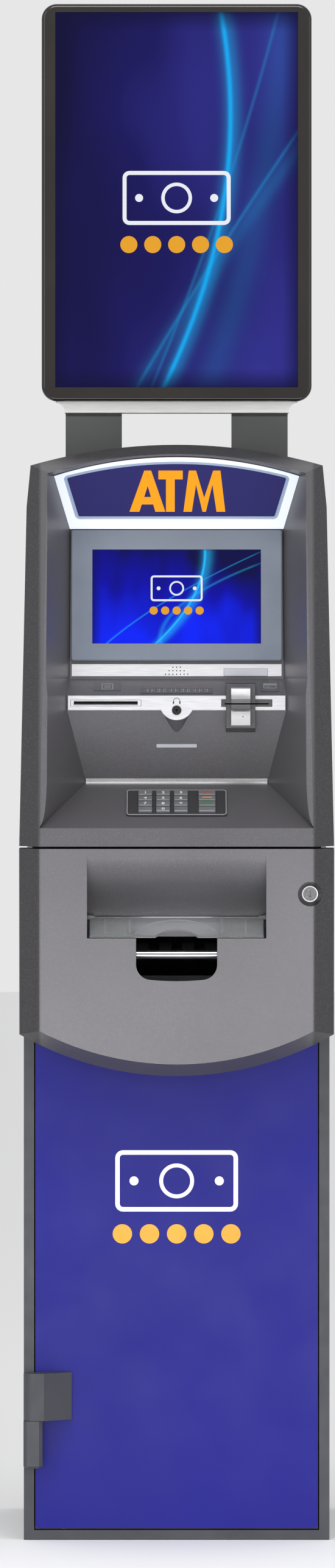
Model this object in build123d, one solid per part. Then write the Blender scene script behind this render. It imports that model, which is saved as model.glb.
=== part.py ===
"""Free-standing cash machine with a digital topper: a steel safe with a hinged door, an upper cabinet, two
moulded fascias that swing open on the left, a keypad, a card reader, a receipt printer and a cash outlet.

Frame: millimetres, +Z up, the customer's side faces -Y, +X is to the customer's right.
The origin is on the floor, under the centre of the machine's overall box.
Each parts/NODE.step is one sub-part, written where it sits in the machine.
"""
from build123d import *
import os
from math import atan2, cos, hypot, sin

# ---------------------------------------------------------------- driving dimensions
REAR = 285.0                 # back of the machine
FRONT = -285.0               # foremost edge, the lip below the keypad deck
SAFE_FRONT = -175.0          # front plane of the safe body and the upper cabinet
SAFE_HALF = 201.0            # half width of the safe
SAFE_TOP = 906.0
SAFE_WALL = 6.0
FLANGE_DEPTH = 15.0          # depth of the frame round the door
CABINET_HALF = 190.0         # upper cabinet
CABINET_TOP = 1412.0
SHEET = 2.0                  # sheet metal of the upper cabinet
FASCIA_HALF = 206.0          # half width of both fascias at their joint
FASCIA_WALL = 4.0

UPPER_BOTTOM = 914.0         # upper fascia
UPPER_CORNER = 1420.0
UPPER_APEX = 1449.0
UPPER_TOP_HALF = 196.0
UPPER_BACK = -190.0
UPPER_LEAN = 60.0            # how far its front leans back from bottom to top
EDGE_BAND = 27.0             # width of the slanted band round both fascias
EDGE_DEPTH = 42.0
EDGE_END = 21.0              # height of the band at the arched end

LOWER_TOP = 911.0            # lower fascia
LOWER_CORNER = 663.0
LOWER_APEX = 608.0
LOWER_BACK = -185.0
LOWER_LEAN = 22.0

RECESS_FLOOR = 938.0         # customer recess: front edge of the keypad deck
DECK_REAR = (119.0, -158.0, 996.0)     # half width, y, z
PANEL_TOP = (143.5, -203.0, 1091.0)
STRIP_TOP = (143.5, -203.0, 1111.0)
SHELF_REAR = (140.5, -170.0, 1133.0)
SCREEN_TOP = (139.5, -146.0, 1329.0)

OUTLET_HALF = 117.0          # scoop above the cash outlet
OUTLET_TOP = 901.0
OUTLET_SILL = 794.0
NOTCH_HALF = 53.0
NOTCH_BOTTOM = 738.0
NOTCH_RADIUS = 20.0
SCOOP_DEPTH = 52.0

DOOR_HALF = 186.0            # safe door
DOOR_BOTTOM = 14.0
DOOR_TOP = 892.0
DOOR_FRONT = -172.0
DOOR_PLATE = 12.0
HINGE_X, HINGE_Y = -190.0, -198.0      # safe door axis
HINGE_R = 11.0
HINGE_BASES = (96.0, 700.0)            # foot of each safe hinge
KNUCKLE = 62.0
HINGE_GAP = 0.6
HINGE_PIN_R = 5.0
RUN_CLEAR = 0.05                       # radial clearance of a running fit

UPPER_PIVOT = (-196.0, -186.0)         # axes of the fascias, x and y
LOWER_PIVOT = (-200.0, -214.0)
PIVOT_R = 2.0
PIVOT_LUG_R = 3.5

LOCK_X, LOCK_Z = 174.0, 852.0
HANDLE_X, HANDLE_Z = 100.0, 690.0
DIAL_X, DIAL_Z = -60.0, 684.0
BOLT_LEVELS = (170.0, 430.0, 690.0)
BOLT_R = 8.0
BOLT_Y = -143.0

KEY_COLUMNS = (-41.1, -17.7, 5.6, 39.9)
KEY_ROWS = (24.3, 8.1, -8.1, -24.3)
KEY_HEIGHT = 13.4
KEY_WIDTHS = (18.4, 18.4, 18.4, 22.4)
KEY_NAMES = (
    ("key_1", "key_2", "key_3", "key_cancel"),
    ("key_4", "key_5", "key_6", "key_clear"),
    ("key_7", "key_8", "key_9", "key_enter"),
    ("key_left_blank", "key_0", "key_right_blank", "key_blank"),
)

TOPPER_BOTTOM, TOPPER_TOP = 1499.0, 2023.0
TOPPER_HALF = 178.0
TOPPER_FRONT, TOPPER_BACK = -150.0, -76.0
TOPPER_RADIUS = 20.0
SCREEN_HALF = 160.0
SCREEN_BOTTOM, SCREEN_TOP_EDGE = 1517.0, 2012.0
BRACKET_X = 109.5
BRACKET_HALF = 37.0

os.makedirs("parts", exist_ok=True)


# ---------------------------------------------------------------- helpers
def save(name, shape):
    """Writes one sub-part, one or more closed solids, as a STEP file."""
    solids = shape.solids()
    whole = Compound(children=[Solid(s.wrapped) for s in solids]) if len(solids) > 1 else solids[0]
    whole.label = name
    export_step(whole, f"parts/{name}.step")


def block(x0, x1, y0, y1, z0, z1):
    """A box between opposite corners."""
    middle = Pos((x0 + x1) / 2, (y0 + y1) / 2, (z0 + z1) / 2)
    return middle * Box(abs(x1 - x0), abs(y1 - y0), abs(z1 - z0))


def rod_x(x0, x1, y, z, radius):
    return Pos((x0 + x1) / 2, y, z) * Rot(0, 90, 0) * Cylinder(radius, abs(x1 - x0))


def rod_y(x, y0, y1, z, radius):
    return Pos(x, (y0 + y1) / 2, z) * Rot(90, 0, 0) * Cylinder(radius, abs(y1 - y0))


def rod_z(x, y, z0, z1, radius):
    return Pos(x, y, (z0 + z1) / 2) * Cylinder(radius, abs(z1 - z0))


def front_prism(sketch, y_front, y_back):
    """Extrudes a sketch drawn in X and Z from y_back towards the customer."""
    return extrude(Plane.XZ.offset(-y_back) * sketch, y_back - y_front)


def side_prism(points, x0, x1):
    """Extrudes a closed polygon of (y, z) points from x0 to x1."""
    face = make_face(Polyline(*points, close=True))
    return extrude(Plane.YZ.offset(x0) * face, x1 - x0)


def rounded_block(x0, x1, y0, y1, z0, z1, radius):
    """A box whose four edges along Y are rounded."""
    sketch = Pos((x0 + x1) / 2, (z0 + z1) / 2) * RectangleRounded(x1 - x0, z1 - z0, radius)
    return front_prism(sketch, y0, y1)


# ---------------------------------------------------------------- upper fascia
def upper_front(z):
    """y of the leaning front plane of the upper fascia at height z."""
    return FRONT + UPPER_LEAN * (z - UPPER_BOTTOM) / (UPPER_CORNER - UPPER_BOTTOM)


def fascia_form(front_plane, outline, inset, depth):
    """A fascia's outer form: a straight shell behind a front whose edges are cut back as a slanted band.
    outline(side, end) draws the form on the front plane, drawn in by side in X and by end at its arched end."""
    behind = front_plane.offset(-EDGE_DEPTH - inset * 0.3)
    rear = behind * outline(inset, inset)
    front = front_plane.offset(-inset) * outline(EDGE_BAND + inset * 0.6, EDGE_END + inset * 0.6)
    return extrude(rear, -depth) + loft([rear, front], ruled=True)


UPPER_TILT = atan2(UPPER_LEAN, UPPER_CORNER - UPPER_BOTTOM)
UPPER_PLANE = Plane(
    origin=(0, FRONT, UPPER_BOTTOM), x_dir=(1, 0, 0), z_dir=(0, -cos(UPPER_TILT), sin(UPPER_TILT))
)


def upper_outline(side, end):
    """Front outline of the upper fascia on its leaning plane, reaching well below the joint line."""
    corner = (UPPER_CORNER - UPPER_BOTTOM) / cos(UPPER_TILT) - end * 0.8
    apex = (UPPER_APEX - UPPER_BOTTOM) / cos(UPPER_TILT) - end
    foot = -60.0
    slope = (FASCIA_HALF - UPPER_TOP_HALF) / (UPPER_CORNER - UPPER_BOTTOM)
    narrow = UPPER_TOP_HALF - side
    wide = FASCIA_HALF - side - slope * foot
    return make_face(
        Polyline((-narrow, corner), (-wide, foot), (wide, foot), (narrow, corner))
        + ThreePointArc((narrow, corner), (0, apex), (-narrow, corner))
    )


def upper_body(inset):
    """The upper fascia's outer form, drawn in by inset on every outer side."""
    form = fascia_form(UPPER_PLANE, upper_outline, inset, 140)
    keep = block(-300, 300, FRONT - 100, UPPER_BACK + inset, UPPER_BOTTOM + inset, UPPER_APEX + 100)
    return form & keep


def trapezium(z, half_rear, y_rear, half_front, y_front):
    """Level cross-section of the customer recess."""
    return make_face(
        Polyline(
            (-half_rear, y_rear, z),
            (half_rear, y_rear, z),
            (half_front, y_front, z),
            (-half_front, y_front, z),
            close=True,
        )
    )


def recess(grow):
    """The customer recess as stacked ruled slices; grow makes it larger all round, for the wall behind it."""
    top_z = UPPER_APEX + 6
    levels = [
        (RECESS_FLOOR - grow, 180.0, upper_front(RECESS_FLOOR) + 1.0),
        (DECK_REAR[2] - grow, DECK_REAR[0], DECK_REAR[1]),
        (PANEL_TOP[2] - grow * 0.5, PANEL_TOP[0], PANEL_TOP[1]),
        (STRIP_TOP[2] + grow * 0.5, STRIP_TOP[0], STRIP_TOP[1]),
        (SHELF_REAR[2] + grow * 0.5, SHELF_REAR[0], SHELF_REAR[1]),
        (SCREEN_TOP[2] + grow, SCREEN_TOP[0], SCREEN_TOP[1]),
        (top_z + grow, 177.0, upper_front(top_z)),
    ]
    slices = []
    for level in levels:
        z, half, y = level
        past = 25.0
        y_front = upper_front(z)
        opening = 180.5 - 3.5 * (z - RECESS_FLOOR) / (UPPER_CORNER - RECESS_FLOOR)
        slices.append(trapezium(z, half + grow, y + grow, opening + grow, y_front - past))
    solid = None
    for lower, upper in zip(slices, slices[1:]):
        piece = loft([lower, upper], ruled=True)
        solid = piece if solid is None else solid + piece
    # the top of the recess follows the arched band
    arch = upper_outline(EDGE_BAND - grow, EDGE_END + 1.0 - grow)
    return solid & extrude(UPPER_PLANE.offset(40) * arch, -260)


def tilted_plane(start, end, distance):
    """A plane on the recess surface that runs from start to end in (y, z); distance is measured from start.
    Its x is the machine's X, its y runs up the surface, and its normal faces the customer."""
    length = hypot(end[0] - start[0], end[1] - start[1])
    along = ((end[0] - start[0]) / length, (end[1] - start[1]) / length)
    origin = (0, start[0] + along[0] * distance, start[1] + along[1] * distance)
    return Plane(origin=origin, x_dir=(1, 0, 0), z_dir=(0, -along[1], along[0]))


DECK_START = (upper_front(RECESS_FLOOR) + 1.0, RECESS_FLOOR)
DECK_END = (DECK_REAR[1], DECK_REAR[2])
KEYPAD_AT = 72.0             # keypad's middle, measured up the deck
KEYPAD_PLANE = tilted_plane(DECK_START, DECK_END, KEYPAD_AT)
SCREEN_FOOT = (SHELF_REAR[1], SHELF_REAR[2])
SCREEN_HEAD = (SCREEN_TOP[1], SCREEN_TOP[2])
SCREEN_PLANE = tilted_plane(SCREEN_FOOT, SCREEN_HEAD, 0.0)
SIGN_TOP_Z = UPPER_APEX + 6
SIGN_PLANE = tilted_plane(SCREEN_HEAD, (upper_front(SIGN_TOP_Z), SIGN_TOP_Z), 0.0)
SHELF_PLANE = tilted_plane((STRIP_TOP[1], STRIP_TOP[2]), SCREEN_FOOT, 0.0)
PANEL_PLANE = tilted_plane(DECK_END, (PANEL_TOP[1], PANEL_TOP[2]), 0.0)

KEYPAD_SIZE = (132.0, 75.0)
SPEAKER_STRIP = (3.0, 19.0)             # from and to, up the screen plane
SCREEN_FRAME = (23.0, 196.5)
DISPLAY_MIDDLE = 108.0
DISPLAY_SIZE = (222.0, 125.0)
READER_X = 84.0                         # middle of the card reader's nose
SLOT_X = 92.0                           # middle of the card slot
SLIP_X = -93.0                          # middle of the receipt slot
JACK_Z = PANEL_TOP[2] + 0.5
LOBE_R = 23.0
STRIP_Z = (PANEL_TOP[2], STRIP_TOP[2])
STRIP_Y = PANEL_TOP[1]
SLOT_Z = sum(STRIP_Z) / 2
UPPER_LEVELS = (UPPER_BOTTOM + 20, UPPER_BOTTOM + 270)
LOWER_LEVELS = (LOWER_CORNER + 9, LOWER_TOP - 40)
LUG_HEIGHT = 16.0


def on_plane(plane, sketch, start, height):
    """Extrudes a sketch on a tilted plane from start to start + height along its normal."""
    return extrude(plane.offset(start) * sketch, height)


def lobe_boss():
    """Skewed cone that carries the socket's lobe down and back into the slanted panel."""
    middle = STRIP_Z[0] + 10.3
    head = Plane.XZ.offset(-STRIP_Y) * (Pos(0, middle) * Circle(LOBE_R - 0.8))
    tail = Plane.XZ.offset(-STRIP_Y - 18) * (Pos(0, STRIP_Z[0] - 31) * Circle(3))
    cone = loft([head, tail], ruled=True)
    return cone & block(-40, 40, -300, 0, 1000, STRIP_Z[0] + 2)


def pivot_lug(pivot, z, wall_x):
    """Lug on a fascia's rear edge, joined to the side wall by a short arm."""
    lug = rod_z(*pivot, z, z + LUG_HEIGHT, PIVOT_LUG_R)
    arm = block(wall_x, pivot[0] + 2.5, pivot[1] - 6, pivot[1], z, z + LUG_HEIGHT)
    return lug + arm


def upper_shell():
    """Moulded upper fascia: an open-backed form with the customer recess let into it as a tub."""
    solid_form = upper_body(0.0)
    behind = block(-175, 175, UPPER_BACK, SAFE_FRONT + 60, UPPER_BOTTOM + 14, UPPER_CORNER - 22)
    tub = recess(FASCIA_WALL) & (solid_form + behind)
    shell = solid_form - upper_body(FASCIA_WALL) + tub + lobe_boss() - recess(0.0)
    shell += lobe_boss()
    # openings for what is fitted into the recess walls
    through = 30.0
    cutters = [
        on_plane(SCREEN_PLANE, Pos(0, DISPLAY_MIDDLE) * Rectangle(240, 142), -through, through + 5),
        on_plane(KEYPAD_PLANE, Rectangle(KEYPAD_SIZE[0] - 8, KEYPAD_SIZE[1] - 6), -through, through + 5),
        on_plane(SIGN_PLANE, Pos(0, 52) * Rectangle(210, 50), -through, through + 5),
        on_plane(PANEL_PLANE, Pos(0, 54) * Rectangle(53.6, 5.0), -through, through + 5),
        on_plane(SCREEN_PLANE, Pos(0, 11) * Rectangle(46, 13), -through, through + 5),
        block(SLOT_X - 34, SLOT_X + 34, -240, -150, SLOT_Z - 5, SLOT_Z + 5),
        block(READER_X - 19.3, READER_X + 19.3, -240, -168, SLOT_Z - 38.3, SLOT_Z + 26.3),
        block(SLIP_X - 47, SLIP_X + 47, -240, -150, SLOT_Z - 4.2, SLOT_Z + 4.2),
        rod_y(0, -240, -150, JACK_Z, 7.0),
    ]
    for cutter in cutters:
        shell -= cutter
    for z, wall_x in zip(UPPER_LEVELS, (-204.0, -199.0)):
        shell += pivot_lug(UPPER_PIVOT, z, wall_x)
        shell -= rod_z(*UPPER_PIVOT, z - 1, z + LUG_HEIGHT + 1, PIVOT_R + RUN_CLEAR)
    return shell


def sign_sketch(grow):
    """The illuminated sign's outline on the sign plane: straight foot, arched head, raked ends."""
    foot, side, apex = 21.0 - grow, 80.0 + grow * 0.8, 102.0 + grow
    low, high = 129.0 + grow, 146.0 + grow
    outline = make_face(
        Polyline((-high, side), (-low, foot), (low, foot), (high, side))
        + ThreePointArc((high, side), (0, apex), (-high, side))
    )
    return fillet(outline.vertices(), 5 + grow * 0.5)


SIGN_LENS = 1.6
SIGN_BEZEL = 3.2


def sign_bezel():
    """Moulded white surround of the sign, filling the sloping head of the recess."""
    arch = upper_outline(EDGE_BAND + 1.2, EDGE_END + 2.4)
    limit = extrude(UPPER_PLANE.offset(-1.0) * arch, -200)
    plate = on_plane(SIGN_PLANE, Pos(0, 64.75) * Rectangle(400, 122.5), 0.2, SIGN_BEZEL)
    plate = plate & limit & recess(-0.4)
    return plate - on_plane(SIGN_PLANE, sign_sketch(3.5), -1, SIGN_BEZEL + 2)


def sign_panel():
    """Sign lens: a backlit sheet let into the surround's opening."""
    return on_plane(SIGN_PLANE, sign_sketch(3.2), 0.2, SIGN_LENS)


def screen_bezel():
    """Proud frame of the display, rebated at the back for the glass."""
    middle = (SCREEN_FRAME[0] + SCREEN_FRAME[1]) / 2
    height = SCREEN_FRAME[1] - SCREEN_FRAME[0]
    frame = on_plane(SCREEN_PLANE, Pos(0, middle) * RectangleRounded(277.6, height, 3), 0.2, 8.0)
    frame = chamfer(frame.faces().sort_by(Axis.Y)[0].edges(), 1.2)
    window = Pos(0, DISPLAY_MIDDLE) * Rectangle(*DISPLAY_SIZE)
    frame -= on_plane(SCREEN_PLANE, window, -1, 20)
    rebate = Pos(0, DISPLAY_MIDDLE) * Rectangle(234.4, 137.4)
    return frame - on_plane(SCREEN_PLANE, rebate, -1, 6.2)


def screen_panel():
    """Ten-inch colour display with its driver tray behind it."""
    glass = on_plane(SCREEN_PLANE, Pos(0, DISPLAY_MIDDLE) * Rectangle(234, 137), 1.0, 4.0)
    tray = on_plane(SCREEN_PLANE, Pos(0, DISPLAY_MIDDLE) * Rectangle(228, 130), -9.0, 10.0)
    return glass + tray


def speaker_strip():
    """Bright strip under the screen, drilled over the loudspeaker, with the card light's notch."""
    low, high = SPEAKER_STRIP
    middle, height = (low + high) / 2, high - low
    strip = on_plane(SCREEN_PLANE, Pos(0, middle) * Rectangle(276.0, height), 0.2, 1.8)
    for row, count in enumerate((7, 5, 3)):
        for i in range(count):
            hole = Pos((i - (count - 1) / 2) * 4.9, low + 2.6 + row * 4.6) * Circle(0.8)
            strip -= on_plane(SCREEN_PLANE, hole, -1, 5)
    notch = Pos(SLOT_X - 1, low + 5.0) * Rectangle(57.8, 10.2)
    return strip - on_plane(SCREEN_PLANE, notch, -1, 5)


def light_lenses():
    """The card slot's guide light and the keypad's lamp, two clear bars."""
    card = on_plane(SCREEN_PLANE, Pos(SLOT_X - 1, SPEAKER_STRIP[0] + 5.0) * Rectangle(57, 9.4), 0.2, 2.6)
    keypad = on_plane(PANEL_PLANE, Pos(0, 54) * Rectangle(53.0, 4.6), -3.0, 3.8)
    return Compound(children=[card, keypad])


def reader_strip():
    """Bright strip across the recess, with openings for the slots and a lobe for the headphone socket."""
    z0, z1 = STRIP_Z
    half = PANEL_TOP[0] - 0.6
    face = Pos(0, SLOT_Z) * Rectangle(2 * half, z1 - z0 - 0.6)
    face += Pos(0, z0 + 10.3) * Circle(LOBE_R)
    face &= Pos(0, z0 - 15) * Rectangle(2 * half, 2 * (z1 - z0) + 29.4)
    strip = front_prism(face, STRIP_Y - 3.2, STRIP_Y - 0.2)
    strip = chamfer(strip.faces().sort_by(Axis.Y)[0].edges(), 0.5)
    openings = [
        (SLIP_X, 93.0, 8.6),
        (SLOT_X, 67.0, 10.0),
        (READER_X, 38.6, 60.0),
    ]
    for x, width, height in openings:
        strip -= front_prism(Pos(x, SLOT_Z) * Rectangle(width, height), STRIP_Y - 5, STRIP_Y + 1)
    return strip - rod_y(0, STRIP_Y - 5, STRIP_Y + 2, JACK_Z, 6.3)


def receipt_mouth():
    """Throat that leads the receipt out through its slot, with a funnelled front."""
    mouth = block(SLIP_X - 46, SLIP_X + 46, STRIP_Y - 3.4, STRIP_Y + 24, SLOT_Z - 3.9, SLOT_Z + 3.9)
    mouth -= block(SLIP_X - 42, SLIP_X + 42, STRIP_Y - 6, STRIP_Y + 30, SLOT_Z - 1.2, SLOT_Z + 1.6)
    funnel = [
        (STRIP_Y - 5, SLOT_Z - 3.4),
        (STRIP_Y - 5, SLOT_Z + 3.2),
        (STRIP_Y + 2, SLOT_Z + 1.6),
        (STRIP_Y + 2, SLOT_Z - 1.2),
    ]
    return mouth - side_prism(funnel, SLIP_X - 42, SLIP_X + 42)


def audio_jack():
    """Headphone socket: a ringed nut round a 3.5 mm bore."""
    nut = rod_y(0, STRIP_Y - 4.6, STRIP_Y - 1.0, JACK_Z, 6.0)
    nut -= rod_y(0, STRIP_Y - 5, STRIP_Y - 2.4, JACK_Z, 4.4)
    ring = rod_y(0, STRIP_Y - 3.8, STRIP_Y - 1.0, JACK_Z, 3.2)
    barrel = rod_y(0, STRIP_Y - 1.0, STRIP_Y + 16, JACK_Z, 4.6)
    return nut + ring + barrel - rod_y(0, STRIP_Y - 6, STRIP_Y + 12, JACK_Z, 1.8)


CARD_SLOT = (SLOT_X - 29.0, SLOT_X + 29.0, SLOT_Z - 1.9, SLOT_Z - 0.2)


def card_slot():
    """The gap a card slides through, from the nose to the back of the surround."""
    x0, x1, z0, z1 = CARD_SLOT
    return block(x0, x1, -260, -140, z0, z1)


def card_reader_bezel():
    """Dark surround of the card slot: the slot's plate and the yoke the nose sits on."""
    plate = block(SLOT_X - 33, SLOT_X + 33, STRIP_Y - 3.0, STRIP_Y + 6, SLOT_Z - 4.6, SLOT_Z + 4.6)
    outline = [
        (-176, SLOT_Z - 38),
        (-196, SLOT_Z - 38),
        (-210, SLOT_Z - 33),
        (-213, SLOT_Z - 8),
        (-213, SLOT_Z + 20),
        (-200, SLOT_Z + 25),
        (-176, SLOT_Z + 26),
    ]
    return plate + side_prism(outline, READER_X - 19, READER_X + 19) - card_slot()


def card_reader_nose():
    """Bright hooded nose over the card slot, with a finger gap under the hood."""
    y0 = -213.2
    profile = [
        (y0, SLOT_Z - 31),
        (y0 - 10, SLOT_Z - 29),
        (y0 - 10, SLOT_Z - 12),
        (y0 - 13, SLOT_Z - 12),
        (y0 - 13, SLOT_Z + 5.4),
        (y0 - 5, SLOT_Z + 18.5),
        (y0, SLOT_Z + 20),
    ]
    nose = side_prism(profile, READER_X - 12.5, READER_X + 12.5)
    nose -= block(READER_X - 30, READER_X + 30, y0 - 20, y0 - 3, SLOT_Z - 11.4, SLOT_Z - 8.6)
    nose -= rod_y(READER_X + 3, y0 - 11, y0 - 8, SLOT_Z - 17.8, 1.0)
    return nose - card_slot()


def label_plates():
    """Three plates on the shelf: the tactile strip, the receipt mark and the card mark."""
    tactile = on_plane(SHELF_PLANE, Pos(0, 10.2) * RectangleRounded(94, 12.5, 1), 0.15, 0.9)
    receipt = on_plane(SHELF_PLANE, Pos(-91, 20) * RectangleRounded(36, 19, 1.5), 0.15, 0.5)
    card = on_plane(SHELF_PLANE, Pos(122.5, 21) * RectangleRounded(24, 26, 3), 0.15, 0.9)
    return Compound(children=[tactile, receipt, card])


def key_cells():
    """Name, column offset, row offset and width of each key on the keypad plane."""
    for row, names in enumerate(KEY_NAMES):
        for column, name in enumerate(names):
            yield name, KEY_COLUMNS[column], KEY_ROWS[row], KEY_WIDTHS[column]


def keypad_plate():
    """Encrypting keypad: a steel face with a square hole for each key, over a sealed block."""
    face = on_plane(KEYPAD_PLANE, RectangleRounded(*KEYPAD_SIZE, 5), 0.2, 2.2)
    face = chamfer(face.faces().sort_by(Axis.Z)[-1].edges(), 0.6)
    case = on_plane(KEYPAD_PLANE, Rectangle(KEYPAD_SIZE[0] - 10, KEYPAD_SIZE[1] - 8), -20, 20.2)
    pad = face + case
    for name, u, v, width in key_cells():
        pad -= on_plane(KEYPAD_PLANE, Pos(u, v) * RectangleRounded(width + 0.8, KEY_HEIGHT + 0.8, 1.2), -6, 12)
    return pad


KEY_TRAVEL = 2.0


def key(u, v, width):
    """Key cap with a sloping crown and a stem, standing proud of the keypad's face."""
    cap = on_plane(KEYPAD_PLANE, Pos(u, v) * RectangleRounded(width, KEY_HEIGHT, 1.0), -3.6, 8.6)
    return chamfer(cap.faces().sort_by(Axis.Z)[-1].edges(), 0.8)


ROLL_Y, ROLL_Z = -79.0, 1116.0
PRINTER_X = (-140.0, -46.0)


def receipt_printer():
    """Printer frame behind the receipt slot: two cheeks, a paper table, a print head beam and the spindle."""
    x0, x1 = PRINTER_X
    frame = block(x0 + 1, x1 - 1, -176, -110, SLOT_Z - 11, SLOT_Z - 8)
    frame += block(x0 + 1, x1 - 1, -172, -156, SLOT_Z + 6, SLOT_Z + 16)
    frame += rod_x(x0 + 1, x1 - 1, ROLL_Y, ROLL_Z, 5.0)
    for x in (x0, x1 - 3):
        frame += block(x, x + 3, -176, -30, SLOT_Z - 34, SLOT_Z + 17)
        frame += block(x, x + 3, -130, -30, SLOT_Z + 17, SLOT_Z + 58)
    return frame


def paper_roll():
    """Thermal paper roll, free to turn on the printer's spindle."""
    roll = rod_x(PRINTER_X[0] + 4.5, PRINTER_X[1] - 4.5, ROLL_Y, ROLL_Z, 38.0)
    return roll - rod_x(PRINTER_X[0], PRINTER_X[1], ROLL_Y, ROLL_Z, 5.0 + RUN_CLEAR)


# ---------------------------------------------------------------- lower fascia
LOWER_TILT = atan2(LOWER_LEAN, LOWER_TOP - LOWER_CORNER)
LOWER_PLANE = Plane(
    origin=(0, FRONT, LOWER_TOP), x_dir=(1, 0, 0), z_dir=(0, -cos(LOWER_TILT), -sin(LOWER_TILT))
)


def lower_front(z):
    """y of the lower fascia's front plane at height z."""
    return FRONT + LOWER_LEAN * (LOWER_TOP - z) / (LOWER_TOP - LOWER_CORNER)


def lower_outline(side, end):
    """Front outline of the lower fascia on its leaning plane, reaching above the joint line."""
    corner = -(LOWER_TOP - LOWER_CORNER) / cos(LOWER_TILT) + end * 0.45
    apex = -(LOWER_TOP - LOWER_APEX) / cos(LOWER_TILT) + end
    head = 60.0
    half = FASCIA_HALF - side
    return make_face(
        Polyline((-half, corner), (-half, head), (half, head), (half, corner))
        + ThreePointArc((half, corner), (0, apex), (-half, corner))
    )


def lower_body(inset):
    form = fascia_form(LOWER_PLANE, lower_outline, inset, 140)
    keep = block(-300, 300, FRONT - 100, LOWER_BACK + inset, LOWER_APEX - 100, LOWER_TOP - inset)
    return form & keep


def scoop(grow):
    """The scoop above the cash outlet: it starts flush at the top and deepens towards the flap."""
    top, low = OUTLET_TOP + grow, OUTLET_SILL - grow
    y_top = lower_front(OUTLET_TOP) + 0.5 + grow
    deep = lower_front(OUTLET_SILL) + SCOOP_DEPTH + grow
    outline = make_face(
        Polyline((deep, low), (FRONT - 30, low), (FRONT - 30, top), (y_top, top))
        + Spline((y_top, top), (deep - 14, 838), (deep, low), tangents=((0.25, -1), (0, -1)))
    )
    half = OUTLET_HALF + grow
    return extrude(Plane.YZ.offset(-half) * outline, 2 * half)


def notch(grow):
    """The hand notch below the flap and the pocket behind it."""
    half, low = NOTCH_HALF + grow, NOTCH_BOTTOM - grow
    outline = make_face(
        Polyline((-half, OUTLET_SILL + 1), (-half, low + 4))
        + ThreePointArc((-half, low + 4), (0, low), (half, low + 4))
        + Polyline((half, low + 4), (half, OUTLET_SILL + 1), (-half, OUTLET_SILL + 1))
    )
    lower_corners = outline.vertices().sort_by(Axis.Y)[:2]
    outline = fillet(lower_corners, NOTCH_RADIUS)
    return front_prism(outline, FRONT - 30, FRONT + 74)


def lock_seat(radius, y_back):
    return rod_y(LOCK_X, FRONT - 20, y_back, LOCK_Z, radius)


def lower_shell():
    wall = FASCIA_WALL
    form = lower_body(0.0)
    shell = form - lower_body(wall)
    shell += (scoop(wall) + lock_seat(16 + wall, -256)) & form
    shell -= scoop(0.0)
    shell -= notch(0.0)
    shell -= lock_seat(16.0, -262)
    shell -= lock_seat(9.2, -240)
    for z in LOWER_LEVELS:
        # behind its pivot the side wall is cut away, because it swings inwards past the bracket there
        shell -= block(-210, -190, LOWER_PIVOT[1] + 0.2, -180, z - 6.4, z + LUG_HEIGHT + 6.4)
        for foot in (z - 6.4, z + LUG_HEIGHT + 0.2):
            shell -= block(-203.4, -190, LOWER_PIVOT[1] - 5, LOWER_PIVOT[1] + 1, foot, foot + 6.2)
        shell += pivot_lug(LOWER_PIVOT, z, -203.5)
        shell -= rod_z(*LOWER_PIVOT, z - 1, z + LUG_HEIGHT + 1, PIVOT_R + RUN_CLEAR)
    # the side wall is notched where the safe's own hinge stands
    shell -= block(-210, -190, -222, -180, HINGE_BASES[1] - 3, HINGE_BASES[1] + 2 * KNUCKLE + 4)
    return shell + flap_bearings()


FLAP_HINGE = (-232.0, 820.0)
FLAP_THICK = 2.4


def flap_bearings():
    """Bearing pads on the scoop's cheeks for the flap's trunnions."""
    pads = None
    for side in (-1, 1):
        x0, x1 = sorted((side * (OUTLET_HALF - 2.9), side * (OUTLET_HALF + 0.5)))
        pad = rod_x(x0, x1, *FLAP_HINGE, 5.0)
        pad -= rod_x(side * (OUTLET_HALF - 5), side * (OUTLET_HALF - 0.2), *FLAP_HINGE, 1.9 + RUN_CLEAR)
        pads = pad if pads is None else pads + pad
    return pads


CHUTE_HALF = NOTCH_HALF + 0.2


def cash_chute():
    """Pocket behind the hand notch, open towards the customer and the presenter, with a floor that dips."""
    y0, y1 = lower_front(NOTCH_BOTTOM - 9) + FASCIA_WALL + 0.4, LOWER_BACK - 1
    z0, z1 = NOTCH_BOTTOM - 6, OUTLET_SILL - 4.6
    wall = 3.0
    outer = rounded_block(-CHUTE_HALF - wall, CHUTE_HALF + wall, y0, y1, z0 - wall, z1 + 20, NOTCH_RADIUS)
    inner = rounded_block(-CHUTE_HALF, CHUTE_HALF, y0 - 1, y1 + 1, z0, z1 + 30, NOTCH_RADIUS - wall)
    outer -= inner
    return outer & block(-200, 200, -400, 0, 0, z1)


def chrome_lip():
    """Polished roller bar across the pocket, over which the notes slide out."""
    return rod_x(-CHUTE_HALF + 0.4, CHUTE_HALF - 0.4, -236, 771.5, 5.6)


def cash_flap():
    """Clear guard over the outlet: a leaning sheet with a thumb cut-out, on two end trunnions."""
    tip = (lower_front(OUTLET_SILL) + 1.5, OUTLET_SILL + 1.6)
    start = FLAP_HINGE
    plane = tilted_plane(tip, start, 0.0)
    length = hypot(start[0] - tip[0], start[1] - tip[1])
    half = OUTLET_HALF - 3.4
    sheet = Pos(0, length / 2) * Rectangle(2 * half, length)
    thumb = Pos(0, -14) * Circle(31)
    guard = extrude(plane * (sheet - thumb), FLAP_THICK / 2, both=True)
    ends = [rod_x(x, x + 6, *start, 3.0) for x in (-half, half - 6)]
    trunnions = [rod_x(x, x + 3.0, *start, 1.9) for x in (-half - 3.0, half)]
    for piece in ends + trunnions:
        guard += piece
    return guard


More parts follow.
